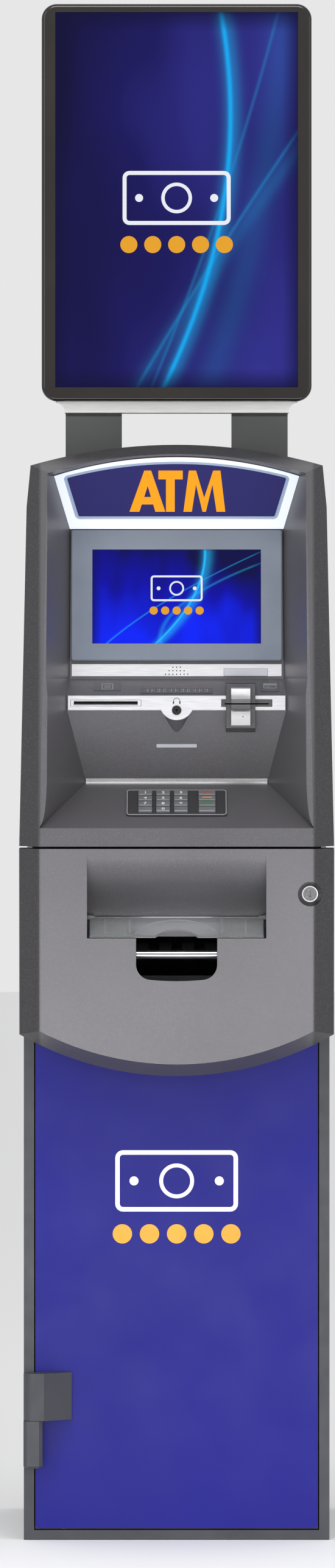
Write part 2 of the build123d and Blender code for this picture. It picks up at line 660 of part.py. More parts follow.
def fascia_lock_body():
    """Lock barrel: a bright ring in the seat, a threaded body and its nut."""
    ring = rod_y(LOCK_X, -270, -262.2, LOCK_Z, 10.6)
    barrel = rod_y(LOCK_X, -262.2, -236, LOCK_Z, 9.0)
    nut = Pos(LOCK_X, -252, LOCK_Z) * Rot(90, 0, 0) * extrude(RegularPolygon(13.5, 6), 3.5, both=True)
    return ring + barrel + nut - rod_y(LOCK_X, -280, -230, LOCK_Z, 7.0 + RUN_CLEAR)


def lock_plug():
    """Key plug with its keyway, and the cam that holds the fascia to the door frame."""
    plug = rod_y(LOCK_X, -269, -234, LOCK_Z, 7.0)
    plug -= block(LOCK_X - 0.9, LOCK_X + 0.9, -272, -262, LOCK_Z - 3.6, LOCK_Z + 3.6)
    plug -= rod_y(LOCK_X, -272, -262, LOCK_Z - 2.4, 1.7)
    cam = block(LOCK_X - 7, LOCK_X + 7, -235.6, -233, LOCK_Z - 7, LOCK_Z + 24)
    return plug + cam


# ---------------------------------------------------------------- safe and its door
def safe_body():
    """Welded safe: five walls, a front frame round the door and four anchor holes in the floor."""
    body = block(-SAFE_HALF, SAFE_HALF, SAFE_FRONT, REAR, 0, SAFE_TOP)
    w = SAFE_WALL
    body -= block(-SAFE_HALF + w, SAFE_HALF - w, SAFE_FRONT + FLANGE_DEPTH, REAR - w, w, SAFE_TOP - w)
    body -= block(-DOOR_HALF - 1.5, DOOR_HALF + 1.5, SAFE_FRONT - 5, SAFE_FRONT + 30, DOOR_BOTTOM - 1.5, DOOR_TOP + 1.5)
    for x in (-ANCHOR_X / 2, ANCHOR_X / 2):
        for y in (-ANCHOR_Y / 2, ANCHOR_Y / 2):
            body -= rod_z(x, ANCHOR_MIDDLE + y, -5, 20, ANCHOR_R)
    # cable passages in the roof
    for x in (-120, 120):
        body -= rod_z(x, 220, SAFE_TOP - 20, SAFE_TOP + 5, 20)
    return body


ANCHOR_X, ANCHOR_Y, ANCHOR_R = 290.0, 320.0, 9.0
ANCHOR_MIDDLE = 55.0


def door_slab():
    """Plate door with a cash slot, a bolt frame behind it and bores for the handle and the dial."""
    back = DOOR_FRONT + DOOR_PLATE
    door = block(-DOOR_HALF, DOOR_HALF, DOOR_FRONT, back, DOOR_BOTTOM, DOOR_TOP)
    door -= block(-60, 60, DOOR_FRONT - 5, back + 5, 742, 800)
    for level in BOLT_LEVELS:
        guide = block(140, 168, back, BOLT_Y + 13, level - 14, level + 14)
        door += guide - rod_x(130, 180, BOLT_Y, level, BOLT_R + RUN_CLEAR)
    door -= rod_y(HANDLE_X, DOOR_FRONT - 5, back + 5, HANDLE_Z, 8.0 + RUN_CLEAR)
    return door - rod_y(DIAL_X, DOOR_FRONT - 5, back + 5, DIAL_Z, 6.0 + RUN_CLEAR)


def door_skin():
    """Coloured sheet bonded to the door's face, from the sill up to the lower fascia's hidden edge."""
    skin = rounded_block(-DOOR_HALF + 0.5, DOOR_HALF - 0.5, SAFE_FRONT, DOOR_FRONT, DOOR_BOTTOM + 1, 664, 4.0)
    return skin


def safe_hinge_fixed():
    """Lower halves of the two safe hinges: blocks with their pins, welded to the frame beside the door."""
    halves = []
    for base in HINGE_BASES:
        post = block(HINGE_X - 11, HINGE_X + 14, HINGE_Y - 11, HINGE_Y + 12, base, base + KNUCKLE)
        post = chamfer(post.edges().filter_by(Axis.Z), 4.5)
        post = chamfer(post.faces().sort_by(Axis.Z)[0].edges(), 3)
        web = block(HINGE_X - 10.6, HINGE_X + 1.5, HINGE_Y + 4, SAFE_FRONT, base + 3, base + KNUCKLE - 3)
        pin = rod_z(HINGE_X, HINGE_Y, base + 12, base + 2 * KNUCKLE - 2, HINGE_PIN_R)
        halves.append(post + web + pin)
    return Compound(children=halves)


def safe_hinge_moving():
    """Upper halves: a round knuckle with a thick strap that reaches across the door's face."""
    halves = []
    for base in HINGE_BASES:
        foot = base + KNUCKLE + HINGE_GAP
        head = foot + KNUCKLE
        knuckle = rod_z(HINGE_X, HINGE_Y, foot, head, HINGE_R)
        arm = extrude(
            Plane.XY.offset(foot)
            * make_face(
                Polyline(
                    (HINGE_X, HINGE_Y - HINGE_R),
                    (HINGE_X + 16, HINGE_Y - HINGE_R),
                    (-138, SAFE_FRONT - 5),
                    (-138, SAFE_FRONT),
                    (HINGE_X + 8, SAFE_FRONT),
                    (HINGE_X, HINGE_Y + HINGE_R),
                    close=True,
                )
            ),
            KNUCKLE,
        )
        half = knuckle + arm
        halves.append(half - rod_z(HINGE_X, HINGE_Y, foot - 2, head + 5, HINGE_PIN_R + RUN_CLEAR))
    return Compound(children=halves)


def pivot_bracket(pivot, z, plate):
    """Two-armed bracket with its pin; plate is (x0, x1, y0, y1) of the leg that carries the arms."""
    x0, x1, y0, y1 = plate
    bracket = rod_z(*pivot, z - 5, z + LUG_HEIGHT + 5, PIVOT_R)
    for low in (z - 5, z + LUG_HEIGHT + 0.6):
        bracket += block(pivot[0], x1, pivot[1] - 2.6, pivot[1] + 2.6, low, low + 4.4)
        bracket += rod_z(*pivot, low, low + 4.4, 2.6)
    return bracket + block(x0, x1, y0, y1, z - 5, z + LUG_HEIGHT + 5)


def fascia_mounts():
    """What the lower fascia hangs on: two pivot brackets and the keeper of its lock, all on the safe door."""
    mounts = []
    for z in LOWER_LEVELS:
        mounts.append(pivot_bracket(LOWER_PIVOT, z, (-184, -170, LOWER_PIVOT[1] - 2.6, DOOR_FRONT)))
    keeper = block(138, 143, -240, DOOR_FRONT, LOCK_Z - 14, LOCK_Z + 14)
    keeper += block(138, 156, -240, -237, LOCK_Z - 14, LOCK_Z + 14)
    mounts.append(keeper + block(120, 143, DOOR_FRONT - 4, DOOR_FRONT, LOCK_Z - 14, LOCK_Z + 14))
    return Compound(children=mounts)


def safe_handle():
    """Three-position lever on the bolt spindle."""
    spindle = rod_y(HANDLE_X, DOOR_FRONT - 30, DOOR_FRONT + DOOR_PLATE + 24, HANDLE_Z, 8.0)
    hub = rod_y(HANDLE_X, DOOR_FRONT - 32, DOOR_FRONT - 4, HANDLE_Z, 14.0)
    lever = Pos(HANDLE_X, 0, HANDLE_Z) * block(0, 58, DOOR_FRONT - 32, DOOR_FRONT - 22, -7, 7)
    lever = fillet(lever.edges().filter_by(Axis.Y), 5)
    return spindle + hub + lever


def safe_dial():
    """Combination dial with a knurled grip."""
    dial = rod_y(DIAL_X, DOOR_FRONT - 16, DOOR_FRONT - 4, DIAL_Z, 30.0)
    grip = rod_y(DIAL_X, DOOR_FRONT - 32, DOOR_FRONT - 16, DIAL_Z, 17.0)
    for i in range(16):
        turn = Pos(DIAL_X, 0, DIAL_Z) * Rot(0, i * 22.5, 0)
        grip -= turn * block(16.2, 19, DOOR_FRONT - 33, DOOR_FRONT - 17, -1.0, 1.0)
    spindle = rod_y(DIAL_X, DOOR_FRONT - 4, DOOR_FRONT + DOOR_PLATE + 20, DIAL_Z, 6.0)
    return dial + grip + spindle


BOLT_REST = 181.0                       # tip of the drawn bolts


def safe_bolts():
    """Three round bolts tied by one bar."""
    bar = block(120, 130, BOLT_Y - 6, BOLT_Y + 6, BOLT_LEVELS[0] - 20, BOLT_LEVELS[-1] + 20)
    for level in BOLT_LEVELS:
        bar += rod_x(125, BOLT_REST, BOLT_Y, level, BOLT_R)
    return bar


# ---------------------------------------------------------------- inside the safe
def dispenser_frame():
    """Two side plates with cross bars, standing on the safe's floor behind the door."""
    x = 150
    plates = [block(side * x - 2, side * x + 2, -110, 250, 6.2, 820) for side in (-1, 1)]
    frame = plates[0] + plates[1]
    for y, z in ((-90, 20), (230, 20), (-90, 560), (230, 560), (230, 800), (100, 800)):
        frame += rod_x(-x, x, y, z, 8)
    for z in (120, 340):
        for side in (-1, 1):
            frame += block(side * (x - 2), side * (x - 14), -100, 240, z - 3, z)
    return frame


def cash_cassettes():
    """Two note cassettes on the frame's rails, each with a carrying handle."""
    cassettes = []
    for z in (120.2, 340.2):
        box = block(-130, 130, -104, 216, z, z + 150)
        box = fillet(box.edges().filter_by(Axis.X), 6)
        grip = block(-50, 50, -116, -100, z + 60, z + 90)
        grip -= block(-40, 40, -112, -90, z + 67, z + 83)
        cassettes.append(box + (grip & block(-60, 60, -116, -103, 0, 900)))
    return Compound(children=cassettes)


PRESENTER = (-128.0, 772.0)


def presenter_rollers():
    """Shaft with four soft rollers that drives the notes out through the door."""
    shaft = rod_x(-146, 146, *PRESENTER, 5.0)
    for x in (-45, -15, 15, 45):
        shaft += rod_x(x - 8, x + 8, *PRESENTER, 13.0)
    return shaft


def presenter_bearings():
    plates = []
    for side in (-1, 1):
        x = side * 146
        pad = block(x - 2, x + 2, PRESENTER[0] - 12, -100, PRESENTER[1] - 14, PRESENTER[1] + 14)
        plates.append(pad - rod_x(x - 5, x + 5, *PRESENTER, 5.0 + RUN_CLEAR))
    return plates


# ---------------------------------------------------------------- upper cabinet
def upper_cabinet():
    """Sheet metal cabinet on the safe, open at the front inside a collar and at the back for the service panel."""
    z0, z1 = SAFE_TOP, CABINET_TOP
    box = block(-CABINET_HALF, CABINET_HALF, SAFE_FRONT, REAR, z0, z1)
    box -= block(-CABINET_HALF + SHEET, CABINET_HALF - SHEET, SAFE_FRONT - 5, REAR + 5, z0 + SHEET, z1 - SHEET)
    collar = block(-178, 178, UPPER_BACK + 3, SAFE_FRONT + 10, z0 + 19, z1 - 12)
    collar -= block(-176, 176, UPPER_BACK, SAFE_FRONT + 20, z0 + 21, z1 - 14)
    frame = block(-CABINET_HALF + SHEET, CABINET_HALF - SHEET, SAFE_FRONT, SAFE_FRONT + 2, z0 + SHEET, z1 - SHEET)
    frame -= block(-176, 176, SAFE_FRONT - 5, SAFE_FRONT + 5, z0 + 21, z1 - 14)
    back = block(-CABINET_HALF + SHEET, CABINET_HALF - SHEET, REAR - 4, REAR - 2, z0 + SHEET, z1 - SHEET)
    back -= block(-150, 150, REAR - 10, REAR + 5, z0 + 50, z1 - 50)
    box = box + collar + frame + back
    for x in (-120, 120):
        box -= rod_z(x, 220, z0 - 5, z0 + 10, 20)
    for side in (-1, 1):
        for i in range(7):
            box -= block(side * 185, side * 195, 150, 230, z0 + 330 + i * 14, z0 + 335 + i * 14)
    for x, z in SCREW_PLACES:
        box -= rod_y(x, REAR - 6, REAR + 1, z, 2.2)
    box -= block(106, 134, REAR - 6, REAR + 1, INLET_Z - 11, INLET_Z + 11)
    for z in UPPER_LEVELS:
        box += pivot_bracket(UPPER_PIVOT, z, (-191.8, -188.5, UPPER_PIVOT[1] - 2.6, SAFE_FRONT + 20))
    return box


SCREW_PLACES = [(x, z) for x in (-156, 156) for z in (SAFE_TOP + 60, (SAFE_TOP + CABINET_TOP) / 2, CABINET_TOP - 60)]
INLET_Z = SAFE_TOP + 24


def rear_panel():
    z0, z1 = SAFE_TOP + 40, CABINET_TOP - 40
    panel = block(-164, 164, REAR - 1.9, REAR - 0.9, z0, z1)
    for i in range(9):
        panel -= block(-60, 60, REAR - 5, REAR + 5, z1 - 60 - i * 14, z1 - 55 - i * 14)
    for x, z in SCREW_PLACES:
        panel -= rod_y(x, REAR - 5, REAR + 1, z, 2.2)
    return panel


def cover_screws():
    """Pan-head screws of the service panel."""
    screws = []
    for x, z in SCREW_PLACES:
        screws.append(rod_y(x, REAR - 0.8, REAR, z, 4.0) + rod_y(x, REAR - 6, REAR - 0.8, z, 2.0))
    return Compound(children=screws)


def controller_unit():
    """Computer case on the cabinet's floor."""
    case = block(-150, 60, 40, 250, SAFE_TOP + SHEET + 0.2, SAFE_TOP + 90)
    return fillet(case.edges().filter_by(Axis.Y), 3)


def power_inlet():
    """Mains inlet in the cabinet's back: a flange, a cup and three pins."""
    cup = block(107, 133, REAR - 22, REAR - 1.6, INLET_Z - 10, INLET_Z + 10)
    cup += block(101, 139, REAR - 1.9, REAR - 0.2, INLET_Z - 14, INLET_Z + 14)
    cup -= block(109, 131, REAR - 20, REAR + 3, INLET_Z - 8, INLET_Z + 8)
    for x, z in ((114, INLET_Z - 2), (120, INLET_Z + 3), (126, INLET_Z - 2)):
        cup += block(x - 1, x + 1, REAR - 21, REAR - 5, z - 2, z + 2)
    return cup


# ---------------------------------------------------------------- topper
def topper_outline(inset):
    height = TOPPER_TOP - TOPPER_BOTTOM
    middle = (TOPPER_TOP + TOPPER_BOTTOM) / 2
    return Pos(0, middle) * RectangleRounded(2 * (TOPPER_HALF - inset), height - 2 * inset, TOPPER_RADIUS - inset)


SCREEN_MIDDLE = (SCREEN_BOTTOM + SCREEN_TOP_EDGE) / 2
SCREEN_HIGH = SCREEN_TOP_EDGE - SCREEN_BOTTOM


def topper_bezel():
    """Rounded front frame of the topper."""
    frame = front_prism(topper_outline(0), TOPPER_FRONT, TOPPER_FRONT + 24)
    frame = fillet(frame.faces().sort_by(Axis.Y)[0].edges(), 5.0)
    frame -= front_prism(Pos(0, SCREEN_MIDDLE) * Rectangle(2 * SCREEN_HALF, SCREEN_HIGH), TOPPER_FRONT - 5, TOPPER_FRONT + 30)
    return frame - front_prism(
        Pos(0, SCREEN_MIDDLE) * Rectangle(2 * SCREEN_HALF + 12, SCREEN_HIGH + 10), TOPPER_FRONT + 3, TOPPER_FRONT + 30
    )


def topper_screen():
    glass = Pos(0, SCREEN_MIDDLE) * Rectangle(2 * SCREEN_HALF + 11, SCREEN_HIGH + 9)
    return front_prism(glass, TOPPER_FRONT + 3.1, TOPPER_FRONT + 16)


def topper_housing():
    """Rear shell of the topper with louvres."""
    shell = front_prism(topper_outline(2), TOPPER_FRONT + 24, TOPPER_BACK)
    shell = fillet(shell.faces().sort_by(Axis.Y)[-1].edges(), 8)
    shell -= front_prism(topper_outline(6), TOPPER_FRONT + 20, TOPPER_BACK - 4)
    for i in range(12):
        z = TOPPER_TOP - 70 - i * 12
        shell -= block(-90, 90, TOPPER_BACK - 8, TOPPER_BACK + 5, z, z + 5)
    return shell


def topper_crossbar():
    """Bright bar under the topper with coved ends, which joins it to the brackets."""
    z0, z1 = CROSSBAR_BOTTOM, TOPPER_BOTTOM - 0.2
    outline = make_face(
        Polyline((-148, z0), (148, z0))
        + ThreePointArc((148, z0), (151.5, z0 + 10.5), (160, z1))
        + Polyline((160, z1), (-160, z1))
        + ThreePointArc((-160, z1), (-151.5, z0 + 10.5), (-148, z0))
    )
    return front_prism(outline, TOPPER_FRONT + 14, TOPPER_BACK - 6)


CROSSBAR_BOTTOM = 1484.0


def topper_brackets():
    """Two folded channels that carry the crossbar from the cabinet's roof."""
    pair = []
    for side in (-1, 1):
        x = side * BRACKET_X
        web = block(x - BRACKET_HALF, x + BRACKET_HALF, -134, -130, CABINET_TOP + 0.2, CROSSBAR_BOTTOM - 0.2)
        foot = block(x - BRACKET_HALF, x + BRACKET_HALF, -134, -60, CABINET_TOP + 0.2, CABINET_TOP + 4)
        head = block(x - BRACKET_HALF, x + BRACKET_HALF, -134, -84, CROSSBAR_BOTTOM - 4.2, CROSSBAR_BOTTOM - 0.2)
        cheeks = block(x - BRACKET_HALF, x - BRACKET_HALF + 3, -134, -84, CABINET_TOP + 0.2, CROSSBAR_BOTTOM - 0.2)
        cheeks += block(x + BRACKET_HALF - 3, x + BRACKET_HALF, -134, -84, CABINET_TOP + 0.2, CROSSBAR_BOTTOM - 0.2)
        pair.append(web + foot + head + cheeks)
    return Compound(children=pair)


# ---------------------------------------------------------------- write every sub-part
def frame_with_bearings():
    frame = dispenser_frame()
    for plate in presenter_bearings():
        frame += plate
    return frame


PARTS = {
    "safe_body": safe_body,
    "safe_hinge_fixed": safe_hinge_fixed,
    "safe_hinge_moving": safe_hinge_moving,
    "door_slab": door_slab,
    "door_skin": door_skin,
    "safe_handle": safe_handle,
    "safe_dial": safe_dial,
    "safe_bolts": safe_bolts,
    "dispenser_frame": frame_with_bearings,
    "cash_cassettes": cash_cassettes,
    "presenter_rollers": presenter_rollers,
    "upper_cabinet": upper_cabinet,
    "rear_panel": rear_panel,
    "cover_screws": cover_screws,
    "controller_unit": controller_unit,
    "power_inlet": power_inlet,
    "topper_bezel": topper_bezel,
    "topper_screen": topper_screen,
    "topper_housing": topper_housing,
    "topper_crossbar": topper_crossbar,
    "topper_brackets": topper_brackets,
    "fascia_mounts": fascia_mounts,
    "upper_shell": upper_shell,
    "sign_bezel": sign_bezel,
    "sign_panel": sign_panel,
    "screen_bezel": screen_bezel,
    "screen_panel": screen_panel,
    "speaker_strip": speaker_strip,
    "light_lenses": light_lenses,
    "reader_strip": reader_strip,
    "receipt_mouth": receipt_mouth,
    "audio_jack": audio_jack,
    "card_reader_bezel": card_reader_bezel,
    "card_reader_nose": card_reader_nose,
    "label_plates": label_plates,
    "keypad_plate": keypad_plate,
    "receipt_printer": receipt_printer,
    "paper_roll": paper_roll,
    "lower_shell": lower_shell,
    "cash_chute": cash_chute,
    "chrome_lip": chrome_lip,
    "cash_flap": cash_flap,
    "fascia_lock_body": fascia_lock_body,
    "lock_plug": lock_plug,
}

for name, make in PARTS.items():
    save(name, make())
for name, u, v, width in key_cells():
    save(name, key(u, v, width))
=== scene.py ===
# %% [markdown]
# # A free-standing cash machine
# This lesson dresses a imported CAD model of a cash machine. The solids already have their sizes and hinges,
# so Blender's work is the part the eye judges: paint with flake in it, brushed trim, lit signs and screens,
# printed keys, ribs on a clear flap. We load the frame first, with a helper that reads the box of any part.

# %% Load the frame and a helper that reads its parts' boxes
import math
import bmesh
import bpy
from mathutils import Matrix, Vector


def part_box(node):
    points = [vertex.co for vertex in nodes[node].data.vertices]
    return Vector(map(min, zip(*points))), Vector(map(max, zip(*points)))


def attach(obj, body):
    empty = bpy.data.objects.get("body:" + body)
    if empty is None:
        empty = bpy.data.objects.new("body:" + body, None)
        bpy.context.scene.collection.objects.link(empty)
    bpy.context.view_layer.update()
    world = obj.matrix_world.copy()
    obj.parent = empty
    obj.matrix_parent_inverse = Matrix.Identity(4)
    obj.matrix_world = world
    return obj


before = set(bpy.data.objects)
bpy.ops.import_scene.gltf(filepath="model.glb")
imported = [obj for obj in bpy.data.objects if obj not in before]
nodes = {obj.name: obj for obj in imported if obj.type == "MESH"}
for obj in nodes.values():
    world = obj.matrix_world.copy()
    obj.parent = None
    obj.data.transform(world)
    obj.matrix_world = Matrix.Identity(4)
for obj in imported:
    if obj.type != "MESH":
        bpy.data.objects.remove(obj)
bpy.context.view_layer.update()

MM = 0.001

# %% [markdown]
# The machine is tall and narrow, so we look at it from far away with a long lens, and its sides hardly
# converge. A short lens would bend the keypad deck upwards. We put the camera twelve metres off at chest
# height and shift its view down a little instead of tilting it, because a tilted camera would lean the
# safe's upright edges. The Standard view transform keeps the signs and screens as strong as their lamps.

# %% Camera
CAMERA_FAR = 12.0
CAMERA_HEIGHT = 1.15
PICTURE_HEIGHT = 2.061          # metres of object that fill the frame from bottom to top
PICTURE_MIDDLE = 0.9945         # height of the frame's middle
PICTURE_ACROSS = -0.012         # and how far it lies to the side
FRONT_FACE = -0.19              # the plane those sizes are taken in
SENSOR_HEIGHT = 36.0            # millimetres

camera_data = bpy.data.cameras.new("studio_camera")
camera = bpy.data.objects.new("studio_camera", camera_data)
bpy.context.scene.collection.objects.link(camera)
bpy.context.scene.camera = camera
camera.location = (0, FRONT_FACE - CAMERA_FAR, CAMERA_HEIGHT)
camera.rotation_euler = (math.radians(90), 0, 0)
camera_data.sensor_fit = "VERTICAL"
camera_data.sensor_height = SENSOR_HEIGHT
camera_data.lens = SENSOR_HEIGHT * CAMERA_FAR / PICTURE_HEIGHT
camera_data.shift_y = (PICTURE_MIDDLE - CAMERA_HEIGHT) / PICTURE_HEIGHT
camera_data.shift_x = PICTURE_ACROSS / PICTURE_HEIGHT
camera_data.clip_end = 50
bpy.context.scene.view_settings.view_transform = "Standard"
print("lens", round(camera_data.lens, 1), "mm")

# %% [markdown]
# A studio for a dark, glossy machine needs large soft sources: small lamps would leave hard dots on the
# topper's bezel. We use a pale floor, a bright even world, one big softbox from the front left and a weaker
# one from the right. A strip near the floor lifts the lower fascia, and one overhead the sloping faces.

# %% Floor, world and soft lights
def stage_floor(name, size, height, colour):
    mesh = bpy.data.meshes.new(name)
    bm = bmesh.new()
    bmesh.ops.create_grid(bm, x_segments=1, y_segments=1, size=size / 2)
    bmesh.ops.translate(bm, vec=(0, 0, height), verts=bm.verts)
    bm.to_mesh(mesh)
    bm.free()
    piece = bpy.data.objects.new(name, mesh)
    bpy.context.scene.collection.objects.link(piece)
    material = bpy.data.materials.new(name)
    material.use_nodes = True
    shader = material.node_tree.nodes["Principled BSDF"]
    shader.inputs["Base Color"].default_value = (*colour, 1)
    shader.inputs["Roughness"].default_value = 0.85
    mesh.materials.append(material)


def softbox(name, place, target, size, power):
    light = bpy.data.lights.new(name, "AREA")
    light.shape = "RECTANGLE"
    light.size, light.size_y = size
    light.energy = power
    lamp = bpy.data.objects.new(name, light)
    bpy.context.scene.collection.objects.link(lamp)
    lamp.location = place
    lamp.rotation_euler = (Vector(target) - Vector(place)).to_track_quat("-Z", "Y").to_euler()


stage_floor("studio_floor", 40, -0.0005, (0.86, 0.86, 0.87))
world = bpy.data.worlds.new("studio_world")
bpy.context.scene.world = world
world.use_nodes = True
background = world.node_tree.nodes["Background"]
background.inputs["Color"].default_value = (1, 1, 1, 1)
background.inputs["Strength"].default_value = 0.8
softbox("key_softbox", (-2.6, -3.6, 2.6), (0, 0, 1.0), (1.2, 2.8), 34)
softbox("fill_softbox", (3.0, -3.2, 1.6), (0, 0, 1.0), (1.0, 2.6), 16)
softbox("low_strip", (0, -1.9, 0.25), (0, -0.2, 0.95), (1.4, 0.4), 9)
softbox("top_strip", (0, -1.6, 3.2), (0, -0.1, 1.0), (1.4, 0.7), 30)

# %% [markdown]
# Every finish starts the same way: a pattern in the object's own coordinates changes the colour a little,
# a finer one changes the roughness, and the finest one raises a bump. A flat colour could never pass for
# paint or plastic, because real surfaces break up their highlights. One helper lays down that base, and each
# finish then adds what is its own.

# %% The base of every finish
class Finish:
    """Builds one node material: colour variation, roughness variation and bump on Object coordinates."""

    def __init__(self, name):
        self.material = bpy.data.materials.new(name)
        self.material.use_nodes = True
        self.tree = self.material.node_tree
        self.shader = self.tree.nodes["Principled BSDF"]
        self.place = self.tree.nodes.new("ShaderNodeTexCoord").outputs["Object"]

    def node(self, kind, **inputs):
        made = self.tree.nodes.new("ShaderNode" + kind)
        for key, value in inputs.items():
            self.feed(made.inputs[key.replace("_", " ")], value)
        return made

    def feed(self, socket, value):
        if isinstance(value, bpy.types.NodeSocket):
            self.tree.links.new(value, socket)
        else:
            socket.default_value = value

    def stretch(self, scale):
        """Object coordinates stretched along an axis, for brushing or moulding flow."""
        mapping = self.node("Mapping", Vector=self.place, Scale=scale)
        return mapping.outputs["Vector"]

    def noise(self, scale, detail=3.0, vector=None):
        made = self.node("TexNoise", Vector=vector or self.place, Scale=scale, Detail=detail)
        return made.outputs["Fac"]

    def flakes(self, scale):
        made = self.node("TexVoronoi", Vector=self.place, Scale=scale)
        return made.outputs["Color"]

    def sums(self, operation, a, b=0.0, c=0.0):
        made = self.tree.nodes.new("ShaderNodeMath")
        made.operation = operation
        for socket, value in zip(made.inputs, (a, b, c)):
            self.feed(socket, value)
        return made.outputs[0]

    def ramp(self, fac, stops):
        made = self.node("ValToRGB", Fac=fac)
        band = made.color_ramp
        ends = ((band.elements[0], stops[0]), (band.elements[1], stops[-1]))
        for element, (at, colour) in ends:
            element.position = at
            element.color = (*colour, 1)
        for at, colour in stops[1:-1]:
            band.elements.new(at).color = (*colour, 1)
        return made.outputs["Color"]

    def span(self, value, low, high, to_low, to_high):
        made = self.node("MapRange", Value=value)
        for key, number in (("From Min", low), ("From Max", high), ("To Min", to_low), ("To Max", to_high)):
            made.inputs[key].default_value = number
        return made.outputs["Result"]

    def mix(self, fac, a, b):
        made = self.tree.nodes.new("ShaderNodeMix")
        made.data_type = "RGBA"
        self.feed(made.inputs["Factor"], fac)
        for key, value in (("A", a), ("B", b)):
            socket = next(s for s in made.inputs if s.name == key and s.type == "RGBA")
            self.feed(socket, (*value, 1) if isinstance(value, tuple) and len(value) == 3 else value)
        return next(s for s in made.outputs if s.type == "RGBA")

    def bump(self, height, strength, distance):
        made = self.node("Bump", Height=height, Strength=strength, Distance=distance)
        self.tree.links.new(made.outputs["Normal"], self.shader.inputs["Normal"])

    def sets(self, **inputs):
        for key, value in inputs.items():
            self.feed(self.shader.inputs[key.replace("_", " ")], value)


def coat(name, dark, light, rough=(0.35, 0.5), patch=6.0, grain=900.0, relief=0.00006, strength=0.35, **more):
    """A painted or moulded surface: slow colour drift, finer roughness drift and a fine grain."""
    made = Finish(name)
    colour = made.ramp(made.noise(patch, 4), [(0.3, dark), (0.7, light)])
    made.sets(Base_Color=colour, Roughness=made.span(made.noise(patch * 7, 3), 0.3, 0.7, *rough))
    made.bump(made.noise(grain, 2), strength, relief)
    made.sets(**more)
    return made.material


print("helpers ready")

# %% [markdown]
# The two big fascias are moulded plastic sprayed with a dark silver metallic. In such a paint each flake is
# a tiny mirror at its own angle. We make flakes with Voronoi cells so small that they give only a faint
# sparkle, and let them change both colour and roughness. The slanted bands round the outside and over the
# sign stand in shade, so a mask on the distance from the middle and on the height paints a deeper colour
# there as painted shade.

# %% Metallic fascia paint with painted shade on its bands
# The outer bands are darkened as painted shade: these bounds say where it begins at the sides and over the
# sign.
SHADE_BAND_START, SHADE_BAND_END = 0.1765, 0.1815       # where the outer band begins, from the middle
SHADE_ARCH_START, SHADE_ARCH_END = 1.412, 1.424         # and its height over the sign


def metallic(name, dark, light, band=None, flake_tone=(0.24, 0.24, 0.26), metal=0.5):
    made = Finish(name)
    colour = made.ramp(made.noise(3.0, 3), [(0.3, dark), (0.7, light)])
    # band is the darker colour painted on the outer bands and over the sign as shade.
    if band:
        axes = made.node("SeparateXYZ", Vector=made.place)
        side = made.span(made.sums("ABSOLUTE", axes.outputs["X"]), SHADE_BAND_START, SHADE_BAND_END, 0.0, 1.0)
        arch = made.span(axes.outputs["Z"], SHADE_ARCH_START, SHADE_ARCH_END, 0.0, 1.0)
        colour = made.mix(made.sums("MAXIMUM", side, arch), colour, band)
    single = made.node("SeparateColor", Color=made.flakes(1400.0)).outputs["Red"]
    spark = made.sums("MULTIPLY", made.sums("POWER", single, 7.0), 0.4)
    made.sets(Base_Color=made.mix(spark, colour, flake_tone))
    made.sets(Roughness=made.span(single, 0.0, 1.0, 0.34, 0.5), Metallic=metal)
    made.bump(made.noise(1100.0, 2), 0.22, 0.00005)
    return made.material


# The last colour is the painted shade on the fascia's outer bands and over the sign.
fascia_paint = metallic("fascia_paint", (0.108, 0.104, 0.113), (0.14, 0.136, 0.146), (0.036, 0.034, 0.038))
print(fascia_paint.name, len(fascia_paint.node_tree.nodes), "nodes")

# %% [markdown]
# The safe, its hinges and the cabinet are sheet and plate steel with a powder coat. Powder leaves an orange
# peel that is coarser than the flake paint and has no sparkle, so here the bump is larger and the metal is
# hidden. The door's blue skin is a smoother satin paint over the same steel.

# %% Powder coats and the blue door paint
safe_paint = coat("safe_powder", (0.036, 0.038, 0.046), (0.052, 0.054, 0.064),
                  (0.42, 0.58), 5, 420, 0.00012, 0.5)
cabinet_paint = coat("cabinet_powder", (0.055, 0.056, 0.06), (0.072, 0.073, 0.078),
                     (0.45, 0.6), 4, 480, 0.0001, 0.5)
bracket_paint = coat("bracket_powder", (0.045, 0.046, 0.047), (0.06, 0.061, 0.062),
                     (0.42, 0.55), 9, 520, 0.0001, 0.45)
door_paint = coat("door_blue", (0.007, 0.0065, 0.19), (0.0095, 0.0088, 0.235),
                  (0.36, 0.46), 2.2, 520, 0.00006, 0.3,
                  Specular_IOR_Level=0.22)
print("painted steel finishes", 4)

# %% [markdown]
# Bright trim comes in three kinds: satin aluminium strips whose brushing runs along the machine's width,
# polished chrome on the pocket's bar and the lock, and bare steel inside. Brushing is one noise stretched
# thirty times along X. Chrome still needs a trace of smudge in its roughness, or it looks like a mirror ball.

# %% Bright metals
def brushed(name, dark, light, rough, along=(3, 90, 90), metal=1.0):
    made = Finish(name)
    lines = made.noise(14.0, 5, made.stretch(along))
    made.sets(Base_Color=made.ramp(lines, [(0.25, dark), (0.75, light)]))
    made.sets(Roughness=made.span(lines, 0.2, 0.8, *rough), Metallic=metal)
    made.bump(lines, 0.15, 0.00003)
    return made.material


